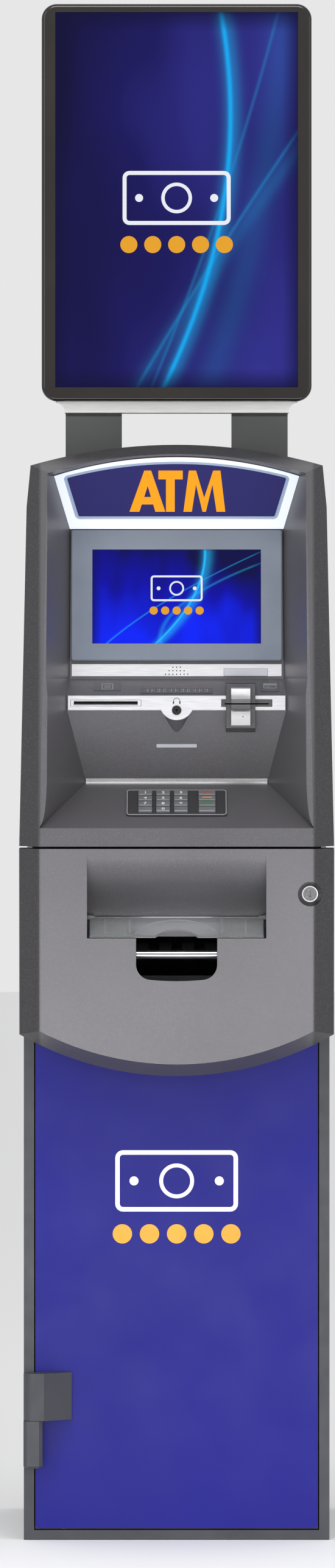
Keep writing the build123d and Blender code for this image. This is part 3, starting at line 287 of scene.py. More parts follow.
bright_trim = brushed("satin_trim", (0.66, 0.66, 0.69), (0.86, 0.86, 0.88), (0.3, 0.42), metal=0.75)
crossbar_trim = brushed("crossbar_trim", (0.66, 0.66, 0.65), (0.8, 0.8, 0.79), (0.34, 0.44), metal=0.6)
bare_steel = brushed("bare_steel", (0.34, 0.35, 0.37), (0.5, 0.51, 0.53), (0.32, 0.45), (60, 60, 3))
chrome = brushed("chrome", (0.42, 0.42, 0.44), (0.66, 0.66, 0.68), (0.08, 0.2), (3, 160, 160))
lock_steel = brushed("lock_steel", (0.2, 0.2, 0.21), (0.34, 0.34, 0.35), (0.2, 0.32), (40, 40, 40))
print("bright finishes", 5)

# %% [markdown]
# The rest of the moulded parts differ mostly in grain. Dark slot parts have a leathery mould texture, the
# reader's nose is a smoother light grey, keys are satin so that fingers don't shine them at once, and the
# topper's bezel is almost black with a warm cast and a deep gloss.

# %% Moulded plastics
dark_plastic = coat("dark_moulding", (0.04, 0.039, 0.043), (0.058, 0.056, 0.061),
                    (0.4, 0.6), 20, 700, 0.00008, 0.5)
plate_grey = coat("plate_grey", (0.06, 0.062, 0.068), (0.08, 0.083, 0.09), (0.4, 0.5), 30, 900, 0.00004, 0.3)
yoke_grey = coat("yoke_grey", (0.055, 0.053, 0.057), (0.075, 0.073, 0.077),
                 (0.38, 0.5), 30, 900, 0.00004, 0.3)
# This black is the audio socket's own colour, and it also paints the shade in the loudspeaker's holes.
socket_black_and_hole_shade = coat("socket_black_and_hole_shade", (0.008, 0.008, 0.009), (0.016, 0.016, 0.018),
                    (0.25, 0.4), 60, 900, 0.00003, 0.3)
surround_grey = coat("screen_surround", (0.135, 0.155, 0.2), (0.165, 0.19, 0.24),
                     (0.45, 0.6), 12, 800, 0.00005, 0.4)
key_grey = coat("key_grey", (0.105, 0.11, 0.12), (0.14, 0.145, 0.155), (0.4, 0.52), 60, 900, 0.00003, 0.25)
keypad_face = brushed("keypad_face", (0.034, 0.033, 0.036), (0.048, 0.047, 0.05), (0.38, 0.5), metal=0.3)
cassette_grey = coat("cassette_moulding", (0.03, 0.034, 0.044), (0.045, 0.05, 0.062),
                     (0.5, 0.65), 14, 500, 0.0001, 0.5)
# The rollers' near-black rubber finish also paints the shadow lines under the topper's crossbar.
rubber_and_shadow_black = coat("roller_rubber", (0.012, 0.012, 0.012), (0.022, 0.022, 0.022),
              (0.7, 0.85), 40, 1200, 0.0001, 0.6)
thermal_paper = coat("thermal_paper", (0.78, 0.78, 0.75), (0.86, 0.86, 0.84),
                     (0.75, 0.9), 30, 1500, 0.00004, 0.3)
topper_gloss = coat("topper_gloss", (0.0085, 0.0065, 0.005), (0.0135, 0.0105, 0.0085),
                    (0.16, 0.26), 7, 1200, 0.00002, 0.2,
                    Coat_Weight=0.35, Coat_Roughness=0.08, Specular_IOR_Level=0.3)
topper_back = coat("topper_back", (0.014, 0.013, 0.012), (0.024, 0.022, 0.02),
                   (0.45, 0.6), 7, 700, 0.00008, 0.5)
chute_grey = coat("chute_grey", (0.13, 0.127, 0.137), (0.17, 0.166, 0.178), (0.4, 0.5), 20, 700, 0.00006, 0.4)
print("plastics", 13)

# %% [markdown]
# The card reader's nose is moulded in one piece but reads as two: a hood above the slot that stands in
# shade, and a bright finger rest below it. A colour ramp up the nose paints both, with a hard step to
# painted shade at its finger gap, darker under the hood and a painted highlight along the hood's top.

# %% Nose of the card reader, with painted shade and highlight
nose = Finish("nose_grey")
nose_low, nose_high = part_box("card_reader_nose")
NOSE_SPLIT = 0.43             # where the finger gap lies, as a share of the nose's height
nose_height = nose.node("SeparateXYZ", Vector=nose.place).outputs["Z"]
up_nose = nose.span(nose_height, nose_low[2], nose_high[2], 0.0, 1.0)
# The dark stops above the split are painted shade under the hood; the light stops at the top are a painted
# highlight.
nose.sets(Base_Color=nose.ramp(up_nose, [(0.0, (0.5, 0.5, 0.52)), (NOSE_SPLIT - 0.01, (0.62, 0.62, 0.64)),
                                         (NOSE_SPLIT, (0.085, 0.082, 0.09)), (0.78, (0.17, 0.167, 0.175)),
                                         (0.86, (0.36, 0.36, 0.37)), (1.0, (0.45, 0.45, 0.46))]))
nose.sets(Roughness=nose.span(nose.noise(120.0), 0.3, 0.7, 0.3, 0.42), Metallic=0.3)
nose.bump(nose.noise(900.0, 2), 0.25, 0.00004)
nose_grey = nose.material
print("nose finish", len(nose.tree.nodes), "nodes")

# %% [markdown]
# The sign is a light box: lamps behind a white diffuser and a printed lens. Its white is not even, because
# the lamps sit in a row, so the glow is brighter in the middle. Light that really leaves the sign also tints
# the recess beside it, and emission gives us that for free. The lamps are cold, hence the blue cast.

# %% Lit sign and guide lights
def lit(name, colour, edge_colour, strength, reach=0.16, rough=0.3, body=1.0):
    """A surface lit from behind, brighter in the middle of the machine than at its sides."""
    made = Finish(name)
    across = made.node("SeparateXYZ", Vector=made.place).outputs["X"]
    side = made.sums("POWER", made.sums("DIVIDE", made.sums("ABSOLUTE", across), reach), 2.0)
    mottle = made.sums("MULTIPLY", made.noise(18.0, 2), 0.18)
    glow = made.mix(made.sums("ADD", side, mottle), colour, edge_colour)
    cover = made.mix(body, (0.0, 0.0, 0.0), glow)
    made.sets(Base_Color=cover, Emission_Color=glow, Emission_Strength=strength, Specular_IOR_Level=0.25)
    made.sets(Roughness=made.span(made.noise(60.0, 2), 0.3, 0.7, rough, rough + 0.1))
    made.bump(made.noise(1500.0, 2), 0.1, 0.00002)
    return made.material


sign_white = lit("sign_white", (0.93, 0.95, 1.0), (0.74, 0.81, 0.93), 0.66, 0.19, body=0.55)
sign_edge = lit("sign_edge", (0.46, 0.56, 0.74), (0.4, 0.5, 0.7), 0.35, body=0.5)
sign_navy = lit("sign_navy", (0.019, 0.016, 0.165), (0.016, 0.013, 0.145), 0.5, body=0.35)
sign_orange = lit("sign_orange", (1.0, 0.36, 0.0), (1.0, 0.35, 0.0), 0.5, body=0.55)
lens_clear = lit("lens_clear", (0.6, 0.61, 0.68), (0.52, 0.54, 0.6), 0.1, 0.4, 0.18, body=0.7)
print("lit finishes", 5)

# %% [markdown]
# Both screens show the same sort of picture: deep navy that drifts in tone, with a bright curved streak and
# fainter ones that cross it. A streak is easy in node maths. We work out how far a point lies from a curve,
# divide by the streak's width and feed the square to an exponential, which falls off like real light does.
# Only the face towards the customer is lit, so a mask on the distance behind that face keeps the back dark.

# %% Screen pictures
def streak(made, x, t, curve, width, power):
    """Glow along x = a + b*t + c*t*t, in metres across."""
    a, b, c = curve
    line = made.sums("MULTIPLY_ADD", made.sums("MULTIPLY_ADD", t, c, b), t, a)
    away = made.sums("DIVIDE", made.sums("SUBTRACT", x, line), width)
    fall = made.sums("EXPONENT", made.sums("MULTIPLY", made.sums("MULTIPLY", away, away), -1.0))
    return made.sums("MULTIPLY", fall, power)


def edge_shade(made, value, middle, half, soft):
    """1 well inside the picture, falling to 0 at its edge."""
    gap = made.sums("SUBTRACT", half, made.sums("ABSOLUTE", made.sums("SUBTRACT", value, middle)))
    return made.span(gap, 0.0, soft, 0.0, 1.0)


def screen_picture(name, box, tones, streaks, bright, rise, lean_across=0.32, lean_up=-0.1):
    """A screen whose front leans back by rise metres for each metre up."""
    low, high = box
    middle = [(a + b) / 2 for a, b in zip(low, high)]
    half_x, half_z = (high[0] - low[0]) / 2, (high[2] - low[2]) / 2
    made = Finish(name)
    axes = made.node("SeparateXYZ", Vector=made.place)
    x, z = axes.outputs["X"], axes.outputs["Z"]
    t = made.sums("DIVIDE", made.sums("SUBTRACT", z, middle[2]), half_z)
    drift = made.noise(0.9 / half_z, 1.5, made.stretch((1.6, 1.0, 0.7)))
    lean = made.sums("MULTIPLY_ADD", x, lean_across / half_x, made.sums("MULTIPLY", t, lean_up))
    colour = made.ramp(made.sums("ADD", made.sums("MULTIPLY_ADD", drift, 1.1, -0.08), lean),
                       [(0.12, tones[0]), (0.45, tones[1]), (0.85, tones[2])])
    for curve, width, power in streaks:
        colour = made.mix(streak(made, x, t, curve, width, power), colour, bright)
    shade = made.sums("MULTIPLY", edge_shade(made, x, 0.0, half_x, half_x * 0.16),
                      edge_shade(made, z, middle[2], half_z, half_z * 0.12))
    colour = made.mix(shade, tones[0], colour)
    behind = made.sums("SUBTRACT", axes.outputs["Y"], low[1])
    lean_back = made.sums("MULTIPLY", made.sums("SUBTRACT", z, low[2]), rise)
    front = made.span(made.sums("SUBTRACT", behind, lean_back), 0.001, 0.002, 1.0, 0.0)
    colour = made.mix(front, (0.003, 0.003, 0.004), colour)
    made.sets(Base_Color=made.mix(0.15, (0.0, 0.0, 0.0), colour), Emission_Color=colour)
    made.sets(Emission_Strength=1.0, Specular_IOR_Level=0.15)
    made.sets(Roughness=made.span(made.noise(9.0, 2), 0.3, 0.7, 0.1, 0.16))
    made.bump(made.noise(900.0, 1), 0.03, 0.00001)
    return made.material


NAVY = [(0.0006, 0.0, 0.03), (0.005, 0.003, 0.085), (0.026, 0.025, 0.25)]
TOPPER_STREAKS = [
    ((0.0625, 0.0385, -0.0435), 0.0032, 0.8),
    ((0.0655, 0.0385, -0.0435), 0.011, 0.3),
    ((0.060, 0.085, -0.010), 0.0022, 0.16),
    ((0.100, 0.165, 0.010), 0.0026, 0.2),
    ((0.112, 0.180, 0.015), 0.012, 0.1),
    ((0.110, 0.050, -0.020), 0.020, 0.07),
]
topper_picture = screen_picture("topper_picture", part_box("topper_screen"), NAVY, TOPPER_STREAKS,
                                (0.0, 0.36, 0.8), 0.0)
DISPLAY_TONES = [(0.0, 0.0, 0.05), (0.0, 0.0, 0.3), (0.0, 0.012, 0.78)]
DISPLAY_STREAKS = [
    ((0.022, 0.036, -0.021), 0.0016, 0.75),
    ((0.025, 0.036, -0.021), 0.007, 0.34),
    ((-0.005, 0.115, 0.02), 0.0016, 0.3),
    ((0.02, 0.1, 0.06), 0.003, 0.22),
]
DISPLAY_RISE = 24.0 / 196.0    # the display leans back 24 mm over its 196 mm of height
display_picture = screen_picture("display_picture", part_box("screen_panel"), DISPLAY_TONES, DISPLAY_STREAKS,
                                 (0.02, 0.5, 1.0), DISPLAY_RISE, -0.12, -0.34)
print("screen pictures", 2)

# %% [markdown]
# The flap over the cash outlet is clear acrylic. Its edges look lighter because light travels along the
# sheet, and use has left fine scratches. Transmission with a slight roughness and a stretched scratch bump
# gives that. It can't be plain alpha, or the edges would vanish.

# %% Clear acrylic
def acrylic(name, rough):
    made = Finish(name)
    scratch = made.noise(900.0, 3, made.stretch((0.15, 1, 1)))
    made.sets(Base_Color=made.ramp(scratch, [(0.2, (0.86, 0.89, 0.9)), (0.8, (0.92, 0.94, 0.95))]))
    made.sets(Roughness=made.span(scratch, 0.3, 0.7, *rough), Transmission_Weight=0.9, IOR=1.49)
    made.bump(scratch, 0.02, 0.000005)
    return made.material


clear_guard = acrylic("clear_guard", (0.04, 0.1))
frosted = acrylic("frosted_guard", (0.1, 0.18))
print("acrylics", 2)

# %% [markdown]
# Now each CAD node takes its finish. The node's mesh stays as it is, and only its material slots change.

# %% Dress the CAD nodes
KEYS = [name for name in nodes if name.startswith("key_")]
finishes = {
    safe_paint: ["safe_body", "safe_hinge_fixed", "safe_hinge_moving", "door_slab"],
    door_paint: ["door_skin"],
    cabinet_paint: ["upper_cabinet", "rear_panel"],
    bracket_paint: ["topper_brackets"],
    fascia_paint: ["upper_shell", "lower_shell"],
    bright_trim: ["speaker_strip", "reader_strip", "receipt_mouth"],
    crossbar_trim: ["topper_crossbar"],
    bare_steel: ["dispenser_frame", "cover_screws", "controller_unit", "fascia_mounts", "receipt_printer"],
    chrome: ["chrome_lip", "safe_handle", "safe_bolts"],
    lock_steel: ["fascia_lock_body", "lock_plug"],
    chute_grey: ["cash_chute"],
    dark_plastic: ["power_inlet", "safe_dial"],
    nose_grey: ["card_reader_nose"],
    surround_grey: ["screen_bezel"],
    key_grey: KEYS,
    keypad_face: ["keypad_plate"],
    plate_grey: ["label_plates"],
    yoke_grey: ["card_reader_bezel"],
    socket_black_and_hole_shade: ["audio_jack"],
    cassette_grey: ["cash_cassettes"],
    rubber_and_shadow_black: ["presenter_rollers"],
    thermal_paper: ["paper_roll"],
    topper_gloss: ["topper_bezel"],
    topper_back: ["topper_housing"],
    topper_picture: ["topper_screen"],
    display_picture: ["screen_panel"],
    sign_white: ["sign_bezel"],
    sign_edge: ["sign_panel"],
    lens_clear: ["light_lenses"],
    clear_guard: ["cash_flap"],
}


def dress(piece, material):
    if not piece.material_slots:
        piece.data.materials.append(material)
    for place in piece.material_slots:
        place.material = material


for material, names in finishes.items():
    for name in names:
        dress(nodes[name], material)
undressed = set(nodes) - {name for names in finishes.values() for name in names}
print("dressed", len(nodes) - len(undressed), "left", sorted(undressed))

# %% [markdown]
# Small added pieces sit on sloping faces, so we need a quick way to lay a flat shape on a slope. A slope here
# is a point and a direction up the face, both in the machine's side view. The matrix it gives turns a shape
# drawn flat in X and Y, with its thickness along Z, so that it lies on the face and looks at the customer.

# %% Lay shapes on slopes and finish pieces
def slope(origin, up):
    """Matrix that lays X/Y drawings on a face through origin, whose y runs along up."""
    y_axis = Vector((0, *up)).normalized()
    x_axis = Vector((1, 0, 0))
    z_axis = x_axis.cross(y_axis)
    turn = Matrix((x_axis, y_axis, z_axis)).transposed().to_4x4()
    return Matrix.Translation(origin) @ turn


def finish_piece(bm, name, place, body, material):
    """Turns a bmesh into a piece at the origin that rides on a body."""
    bmesh.ops.transform(bm, matrix=place, verts=bm.verts)
    bmesh.ops.recalc_face_normals(bm, faces=bm.faces)
    mesh = bpy.data.meshes.new(name)
    bm.to_mesh(mesh)
    bm.free()
    piece = bpy.data.objects.new(name, mesh)
    bpy.context.scene.collection.objects.link(piece)
    mesh.materials.append(material)
    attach(piece, body)
    return piece


def lift(bm, faces, height, along=(0, 0, 1)):
    """Gives flat faces a thickness along a direction."""
    grown = bmesh.ops.extrude_face_region(bm, geom=faces)
    tops = [v for v in grown["geom"] if isinstance(v, bmesh.types.BMVert)]
    bmesh.ops.translate(bm, vec=Vector(along) * height, verts=tops)


def rounded_face(bm, centre, size, radius):
    """Flat rounded rectangle: a one-cell grid whose corners are bevelled."""
    made = bmesh.ops.create_grid(bm, x_segments=1, y_segments=1, size=0.5)
    bmesh.ops.scale(bm, vec=(*size, 1), verts=made["verts"])
    bmesh.ops.translate(bm, vec=(*centre, 0), verts=made["verts"])
    others = set(bm.faces) - {made["verts"][0].link_faces[0]}
    if radius:
        bmesh.ops.bevel(bm, geom=made["verts"], offset=radius, segments=6, profile=0.5,
                        affect="VERTICES", material=-1)
    return (set(bm.faces) - others).pop()


def round_face(bm, centre, radius, sides):
    made = bmesh.ops.create_circle(bm, cap_ends=True, radius=radius, segments=sides)
    bmesh.ops.translate(bm, vec=(*centre, 0), verts=made["verts"])
    return made["verts"][0].link_faces[0]


def hollow(bm, face, width, height):
    """Insets a face once, removes its middle and lifts the band that is left."""
    band = bmesh.ops.inset_region(bm, faces=[face], thickness=width, use_boundary=True,
                                  use_even_offset=True)["faces"]
    bmesh.ops.delete(bm, geom=[face], context="FACES")
    lift(bm, band, height)


def add_plate(bm, centre, size, radius, height):
    lift(bm, [rounded_face(bm, centre, size, radius)], height)


def add_disc(bm, centre, radius, height, sides=32):
    lift(bm, [round_face(bm, centre, radius, sides)], height)


def add_ring(bm, centre, radius, width, height, sides=48):
    hollow(bm, round_face(bm, centre, radius, sides), width, height)


def add_frame(bm, centre, size, radius, width, height):
    hollow(bm, rounded_face(bm, centre, size, radius), width, height)


def lettering(name, words, height, thick, place, body, material, weight):
    """Plain numbers or letters as raised print, centred on the place."""
    curve = bpy.data.curves.new(name + "_outline", "FONT")
    curve.body = words
    curve.size = 1.0
    curve.align_x, curve.align_y = "LEFT", "BOTTOM_BASELINE"
    curve.offset = weight
    curve.extrude = 0.05
    carrier = bpy.data.objects.new(name + "_outline", curve)
    mesh = bpy.data.meshes.new_from_object(carrier)
    bm = bmesh.new()
    bm.from_mesh(mesh)
    bmesh.ops.remove_doubles(bm, verts=bm.verts, dist=1e-5)
    low = Vector([min(v.co[i] for v in bm.verts) for i in range(3)])
    high = Vector([max(v.co[i] for v in bm.verts) for i in range(3)])
    size = high - low
    bmesh.ops.translate(bm, vec=-(low + high) / 2, verts=bm.verts)
    bmesh.ops.scale(bm, vec=(height / size.y, height / size.y, thick / size.z), verts=bm.verts)
    bmesh.ops.translate(bm, vec=(0, 0, thick / 2), verts=bm.verts)
    bpy.data.objects.remove(carrier)
    bpy.data.curves.remove(curve)
    bpy.data.meshes.remove(mesh)
    return finish_piece(bm, name, place, body, material)


print("piece helpers ready")

# %% [markdown]
# The machine's sloping faces, taken from its side view: the sign leans out over the customer, the screen
# leans back a little, the shelf and the keypad deck lie almost flat. Each runs from a lower to an upper
# point.

# %% The recess's slopes
def face_slope(low, high, distance=0.0, height=0.0):
    """Slope between two (y, z) points in millimetres, from distance up the face and height off it."""
    up = Vector((high[0] - low[0], high[1] - low[1])).normalized()
    place = slope((0, low[0] * MM, low[1] * MM), up)
    return place @ Matrix.Translation((0, distance * MM, height * MM))


DECK = ((-281.15, 938.0), (-158.0, 996.0))
SHELF = ((-203.0, 1111.0), (-170.0, 1133.0))
SCREEN = ((-170.0, 1133.0), (-146.0, 1329.0))
SIGN = ((-146.0, 1329.0), (-220.85, 1455.0))
FLAP = ((-273.12, 795.6), (-232.0, 820.0))
STRIP_FACE = -206.2            # y of the upright bright strip
PANEL = (DECK[1], (STRIP_FACE, 1091.3))
print("slopes", 6)

# %% [markdown]
# The sign's lens carries a navy field with a pale border. We could model the field from scratch, but its
# outline must follow the lens exactly. So we copy the lens, keep only the faces that look at the customer,
# inset them as one region and throw the outer band away. What is left is the field, lifted by half a
# millimetre so that it catches its own edge.

# %% Navy field of the sign
def field_from(node, normal, inset):
    """The face of a CAD node that looks along normal, drawn in by inset all round."""
    bm = bmesh.new()
    bm.from_mesh(nodes[node].data)
    bmesh.ops.remove_doubles(bm, verts=bm.verts, dist=1e-6)
    away = [f for f in bm.faces if f.normal.dot(normal) < 0.99]
    bmesh.ops.delete(bm, geom=away, context="FACES")
    bmesh.ops.dissolve_limit(bm, angle_limit=0.02, verts=bm.verts, edges=bm.edges)
    band = bmesh.ops.inset_region(bm, faces=bm.faces[:], thickness=inset, use_boundary=True,
                                  use_even_offset=True)["faces"]
    bmesh.ops.delete(bm, geom=band, context="FACES")
    return bm


FIELD_BORDER, FIELD_LIFT = 0.0042, 0.0005
sign_normal = face_slope(*SIGN).to_3x3() @ Vector((0, 0, 1))
bm = field_from("sign_panel", sign_normal, FIELD_BORDER)
lift(bm, bm.faces[:], FIELD_LIFT, sign_normal)
sign_field = finish_piece(bm, "sign_field", Matrix.Identity(4), "upper_fascia", sign_navy)
print("sign field faces", len(sign_field.data.polygons))

# %% [markdown]
# The three letters on the sign are the plain word for the machine, cut from orange film. Signs use bolder,
# wider letters than a text object gives, and making a text bolder folds its corners over. So each letter
# starts as a few corner points joined into one face, which is then lifted. The A's bar is its own face.

# %% Letters of the sign
LETTER_A = [(-62, 0), (-49, 0), (-38, 39), (-28, 0), (-15, 0), (-33.5, 62), (-42.5, 62)]
BAR_OF_A = [(-48, 11), (-29, 11), (-30, 22), (-46, 22)]
LETTER_T = [(-24, 62), (-24, 49), (-14, 49), (-14, 0), (-2.5, 0), (-2.5, 49), (8, 49), (8, 62)]
LETTER_M = [(9, 0), (20, 0), (25.5, 41), (34, 0), (38.5, 0), (47, 41), (52.5, 0), (64, 0), (57.5, 62),
            (48, 62), (36.2, 21), (25.5, 62), (16, 62)]


def add_outline(bm, corners, height):
    """One face through the corners, in millimetres, lifted to a height in metres."""
    points = [bm.verts.new((x * MM, y * MM, 0)) for x, y in corners]
    lift(bm, [bm.faces.new(points)], height)


bm = bmesh.new()
for outline in (LETTER_A, LETTER_T, LETTER_M):
    add_outline(bm, outline, 0.0008)
add_outline(bm, BAR_OF_A, 0.0007)
sign_letters = finish_piece(bm, "sign_letters", face_slope(*SIGN, 29.5, 2.25), "upper_fascia",
                            sign_orange)
print("sign letters", len(sign_letters.data.polygons), "faces")

# %% [markdown]
# Key tops are printed, not blank. Numbers go on ten keys. Three keys of the last column carry a coloured bar
# in the usual code: red to cancel, yellow to clear, green to enter. Print is thin, so each figure is only a
# fifth of a millimetre high, and it rides on its own key so that it moves when the key is pressed.

# %% Key prints
print_white = coat("print_white", (0.62, 0.64, 0.66), (0.72, 0.74, 0.76), (0.4, 0.5), 80, 1500, 0.00002, 0.2)
bar_red = coat("bar_red", (0.5, 0.012, 0.01), (0.62, 0.02, 0.015), (0.35, 0.45), 80, 1500, 0.00002, 0.2)
bar_yellow = coat("bar_yellow", (0.72, 0.24, 0.01), (0.82, 0.3, 0.015), (0.35, 0.45), 80, 1500, 0.00002, 0.2)
bar_green = coat("bar_green", (0.01, 0.2, 0.03), (0.02, 0.28, 0.05), (0.35, 0.45), 80, 1500, 0.00002, 0.2)

deck_turn = face_slope(*DECK).to_3x3().to_4x4()


def key_place(name):
    """Slope matrix on the crown of a key."""
    low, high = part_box(name)
    middle = (Vector(low) + Vector(high)) / 2
    normal = deck_turn.to_3x3() @ Vector((0, 0, 1))
    crown = max(v.co.dot(normal) for v in nodes[name].data.vertices) - middle.dot(normal)
    return Matrix.Translation(middle) @ deck_turn @ Matrix.Translation((0, 0, crown))


FIGURE_HEIGHT, FIGURE_WEIGHT, PRINT_THICK = 0.0062, 0.01, 0.0002
for digit in "0123456789":
    lettering("print_" + digit, digit, FIGURE_HEIGHT, PRINT_THICK, key_place("key_" + digit),
              "key_" + digit + "_cap", print_white, FIGURE_WEIGHT)
for name, ink in (("key_cancel", bar_red), ("key_clear", bar_yellow), ("key_enter", bar_green)):
    bm = bmesh.new()
    add_plate(bm, (0, 0.0016), (0.013, 0.0024), 0.0006, PRINT_THICK)
    finish_piece(bm, name + "_bar", key_place(name), name + "_cap", ink)
print("key prints", 13)

# %% [markdown]
# Each key's front edge is chamfered and catches the light, and seen from the front those bright edges are
# what separates the rows. A narrow bright bar along the front of every key top paints that highlight as a
# line.

# %% Painted highlights on the keys' front edges
EDGE_DOWN = -0.00565           # from the key's middle towards the customer
EDGE_MARGIN, EDGE_WIDTH = 0.0022, 0.0014
for name in KEYS:
    low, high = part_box(name)
    bm = bmesh.new()
    add_plate(bm, (0, EDGE_DOWN), (high[0] - low[0] - EDGE_MARGIN, EDGE_WIDTH), 0.0004, 0.00025)
    # The bright bar is a painted highlight on the key's chamfered front edge.
    finish_piece(bm, name + "_edge", key_place(name), name + "_cap", bright_trim)
print("key edges", len(KEYS))

# %% [markdown]
# A bright lip runs round the keypad's plate, where the punched steel is turned down. A thin frame is
# enough: a rounded rectangle, inset once, with its middle thrown away.

# %% Keypad rim
bm = bmesh.new()
add_frame(bm, (0, 0), (0.1308, 0.0738), 0.0045, 0.0011, 0.0003)
keypad_rim = finish_piece(bm, "keypad_rim", face_slope(*DECK, 72.0, 2.42), "upper_fascia",
                          bright_trim)
print("keypad rim faces", len(keypad_rim.data.polygons))

# %% [markdown]
# Where the sloping panel runs into the keypad deck the moulding has a cove, and that hollow catches more
# light than anything near it, so its strip is given a far lighter grey than the fascia as a painted
# highlight. Spin is made for this: an edge laid across the machine is turned round the cove's own axis by
# the angle between the two faces, and the strip it sweeps touches both.

# %% Cove between the panel and the deck, with a painted highlight
COVE_RADIUS = 0.0065
COVE_HALF = 0.1195
# The cove's light grey is a painted highlight, far lighter than the fascia paint it joins.
cove_highlight = metallic("cove_highlight", (0.3, 0.295, 0.3), (0.38, 0.375, 0.38), None, (0.6, 0.6, 0.62))
corner = Vector((0, DECK[1][0] * MM, DECK[1][1] * MM))
deck_normal = (face_slope(*DECK).to_3x3() @ Vector((0, 0, 1))).normalized()
panel_normal = (face_slope(*PANEL).to_3x3() @ Vector((0, 0, 1))).normalized()
axis_point = corner + COVE_RADIUS * (deck_normal + panel_normal)
first = axis_point - COVE_RADIUS * panel_normal
turn = math.acos(max(-1.0, min(1.0, deck_normal.dot(panel_normal))))
sense = 1 if panel_normal.cross(deck_normal).x > 0 else -1
bm = bmesh.new()
ends = [bm.verts.new((side * COVE_HALF, first.y, first.z)) for side in (-1, 1)]
edge = bm.edges.new(ends)
bmesh.ops.spin(bm, geom=ends + [edge], cent=axis_point, axis=(1, 0, 0), angle=sense * turn, steps=10,
               use_merge=False)
bmesh.ops.solidify(bm, geom=bm.faces[:], thickness=0.0006)
cove = finish_piece(bm, "panel_cove", Matrix.Identity(4), "upper_fascia", cove_highlight)
print("cove faces", len(cove.data.polygons))

# %% [markdown]
# The loudspeaker sits behind a small triangle of holes. On the bright strip each hole reads as a black dot
# of shade, so one small dark disc of painted shade stands for each hole. Three rows of seven, five and
# three make the triangle.

# %% Painted shade for the holes of the loudspeaker
bm = bmesh.new()
for row, count in enumerate((7, 5, 3)):
    for i in range(count):
        add_disc(bm, ((i - (count - 1) / 2) * 0.0049, row * 0.0046), 0.00085, 0.0002, sides=12)
# The dark discs are painted shade standing for the holes.
finish_piece(bm, "speaker_dots", face_slope(*SCREEN, 5.6, 1.9), "upper_fascia", socket_black_and_hole_shade)
print("speaker holes", 15)

# %% [markdown]
# The long plate on the shelf is tactile: rows of raised dots for fingers. Real dots are low domes, so each
# is a small sphere sunk to its shoulders. The dots spell nothing here; they only stand where such a plate
# has them. Two small marks beside the slots show a receipt and a card without any words.

# %% Shelf plates: dots, receipt mark and card mark
def add_dome(bm, centre, radius, height):
    made = bmesh.ops.create_uvsphere(bm, u_segments=12, v_segments=6, radius=radius)
    bmesh.ops.scale(bm, vec=(1, 1, height / radius), verts=made["verts"])
    bmesh.ops.translate(bm, vec=(centre[0], centre[1], 0), verts=made["verts"])


mark_grey = coat("mark_grey", (0.2, 0.21, 0.22), (0.27, 0.28, 0.29), (0.4, 0.5), 80, 1500, 0.00002, 0.2)
DOT_PITCH, CELL_PITCH, CELLS = 0.0025, 0.0078, 11
bm = bmesh.new()
for cell in range(CELLS):
    for dot in range(6):
        if (cell * 5 + dot * 3) % 4:
            x = (cell - CELLS // 2) * CELL_PITCH + (dot % 2) * DOT_PITCH - DOT_PITCH / 2
            y = (dot // 2 - 1) * DOT_PITCH
            add_dome(bm, (x, y), 0.0008, 0.0005)
finish_piece(bm, "tactile_dots", face_slope(*SHELF, 10.2, 1.05), "upper_fascia", mark_grey)

RECEIPT_ACROSS, CARD_ACROSS = -0.091, 0.1225
bm = bmesh.new()
add_frame(bm, (RECEIPT_ACROSS, 0), (0.015, 0.0135), 0.001, 0.0009, PRINT_THICK)
for row in (-1, 0, 1):
    add_plate(bm, (RECEIPT_ACROSS, row * 0.003), (0.0085, 0.0008), 0, PRINT_THICK)
finish_piece(bm, "receipt_mark", face_slope(*SHELF, 20.0, 0.66), "upper_fascia", mark_grey)

bm = bmesh.new()
add_frame(bm, (CARD_ACROSS, 0), (0.017, 0.0115), 0.0015, 0.0009, PRINT_THICK)
add_plate(bm, (CARD_ACROSS, 0.0024), (0.0152, 0.0022), 0, PRINT_THICK)
add_plate(bm, (CARD_ACROSS - 0.003, -0.0025), (0.006, 0.0009), 0, PRINT_THICK)
finish_piece(bm, "card_mark", face_slope(*SHELF, 21.0, 1.06), "upper_fascia", mark_grey)
print("shelf marks", 3)

# %% [markdown]
# Over the headphone socket stands a small headphone mark: a half ring and two ear pads. It faces straight
# ahead on the bright strip, so its slope is upright.

# %% Headphone mark
dark_print = coat("dark_print", (0.02, 0.02, 0.022), (0.035, 0.035, 0.038),
                  (0.45, 0.6), 80, 1500, 0.00002, 0.2)
bm = bmesh.new()
add_ring(bm, (0, 0), 0.0046, 0.0007, 0.0002)
bmesh.ops.bisect_plane(bm, geom=bm.verts[:] + bm.edges[:] + bm.faces[:], plane_co=(0, -0.001, 0),
                       plane_no=(0, -1, 0), clear_outer=True)
for side in (-1, 1):
    add_plate(bm, (side * 0.0042, -0.0016), (0.0018, 0.0034), 0.0006, 0.0003)
finish_piece(bm, "headphone_mark", slope((0, STRIP_FACE * MM, 1.1032), (0, 1)), "upper_fascia",
             dark_print)
print("headphone mark placed")

# %% [markdown]
# The flap is not a plain sheet. Moulded ribs stiffen it, the sides are frosted, and an arch of clear acrylic
# shows the notes behind. We lay low ribs on its front and two frosted panels on its back, and a thin arc
# marks the arch. They all ride on the flap, so they lift with it.

# %% Flap ribs and frosted panels
FLAP_FACE = 1.22               # millimetres from the flap's middle to its front
FROST_FACE = -FLAP_FACE - 0.42
bm = bmesh.new()
for x in (-0.0935, -0.0615, 0.0595, 0.0905):
    add_plate(bm, (x, 0.0235), (0.0026, 0.038), 0.0006, 0.0009)
finish_piece(bm, "flap_ribs", face_slope(*FLAP, 0, FLAP_FACE), "outlet_flap", frosted)

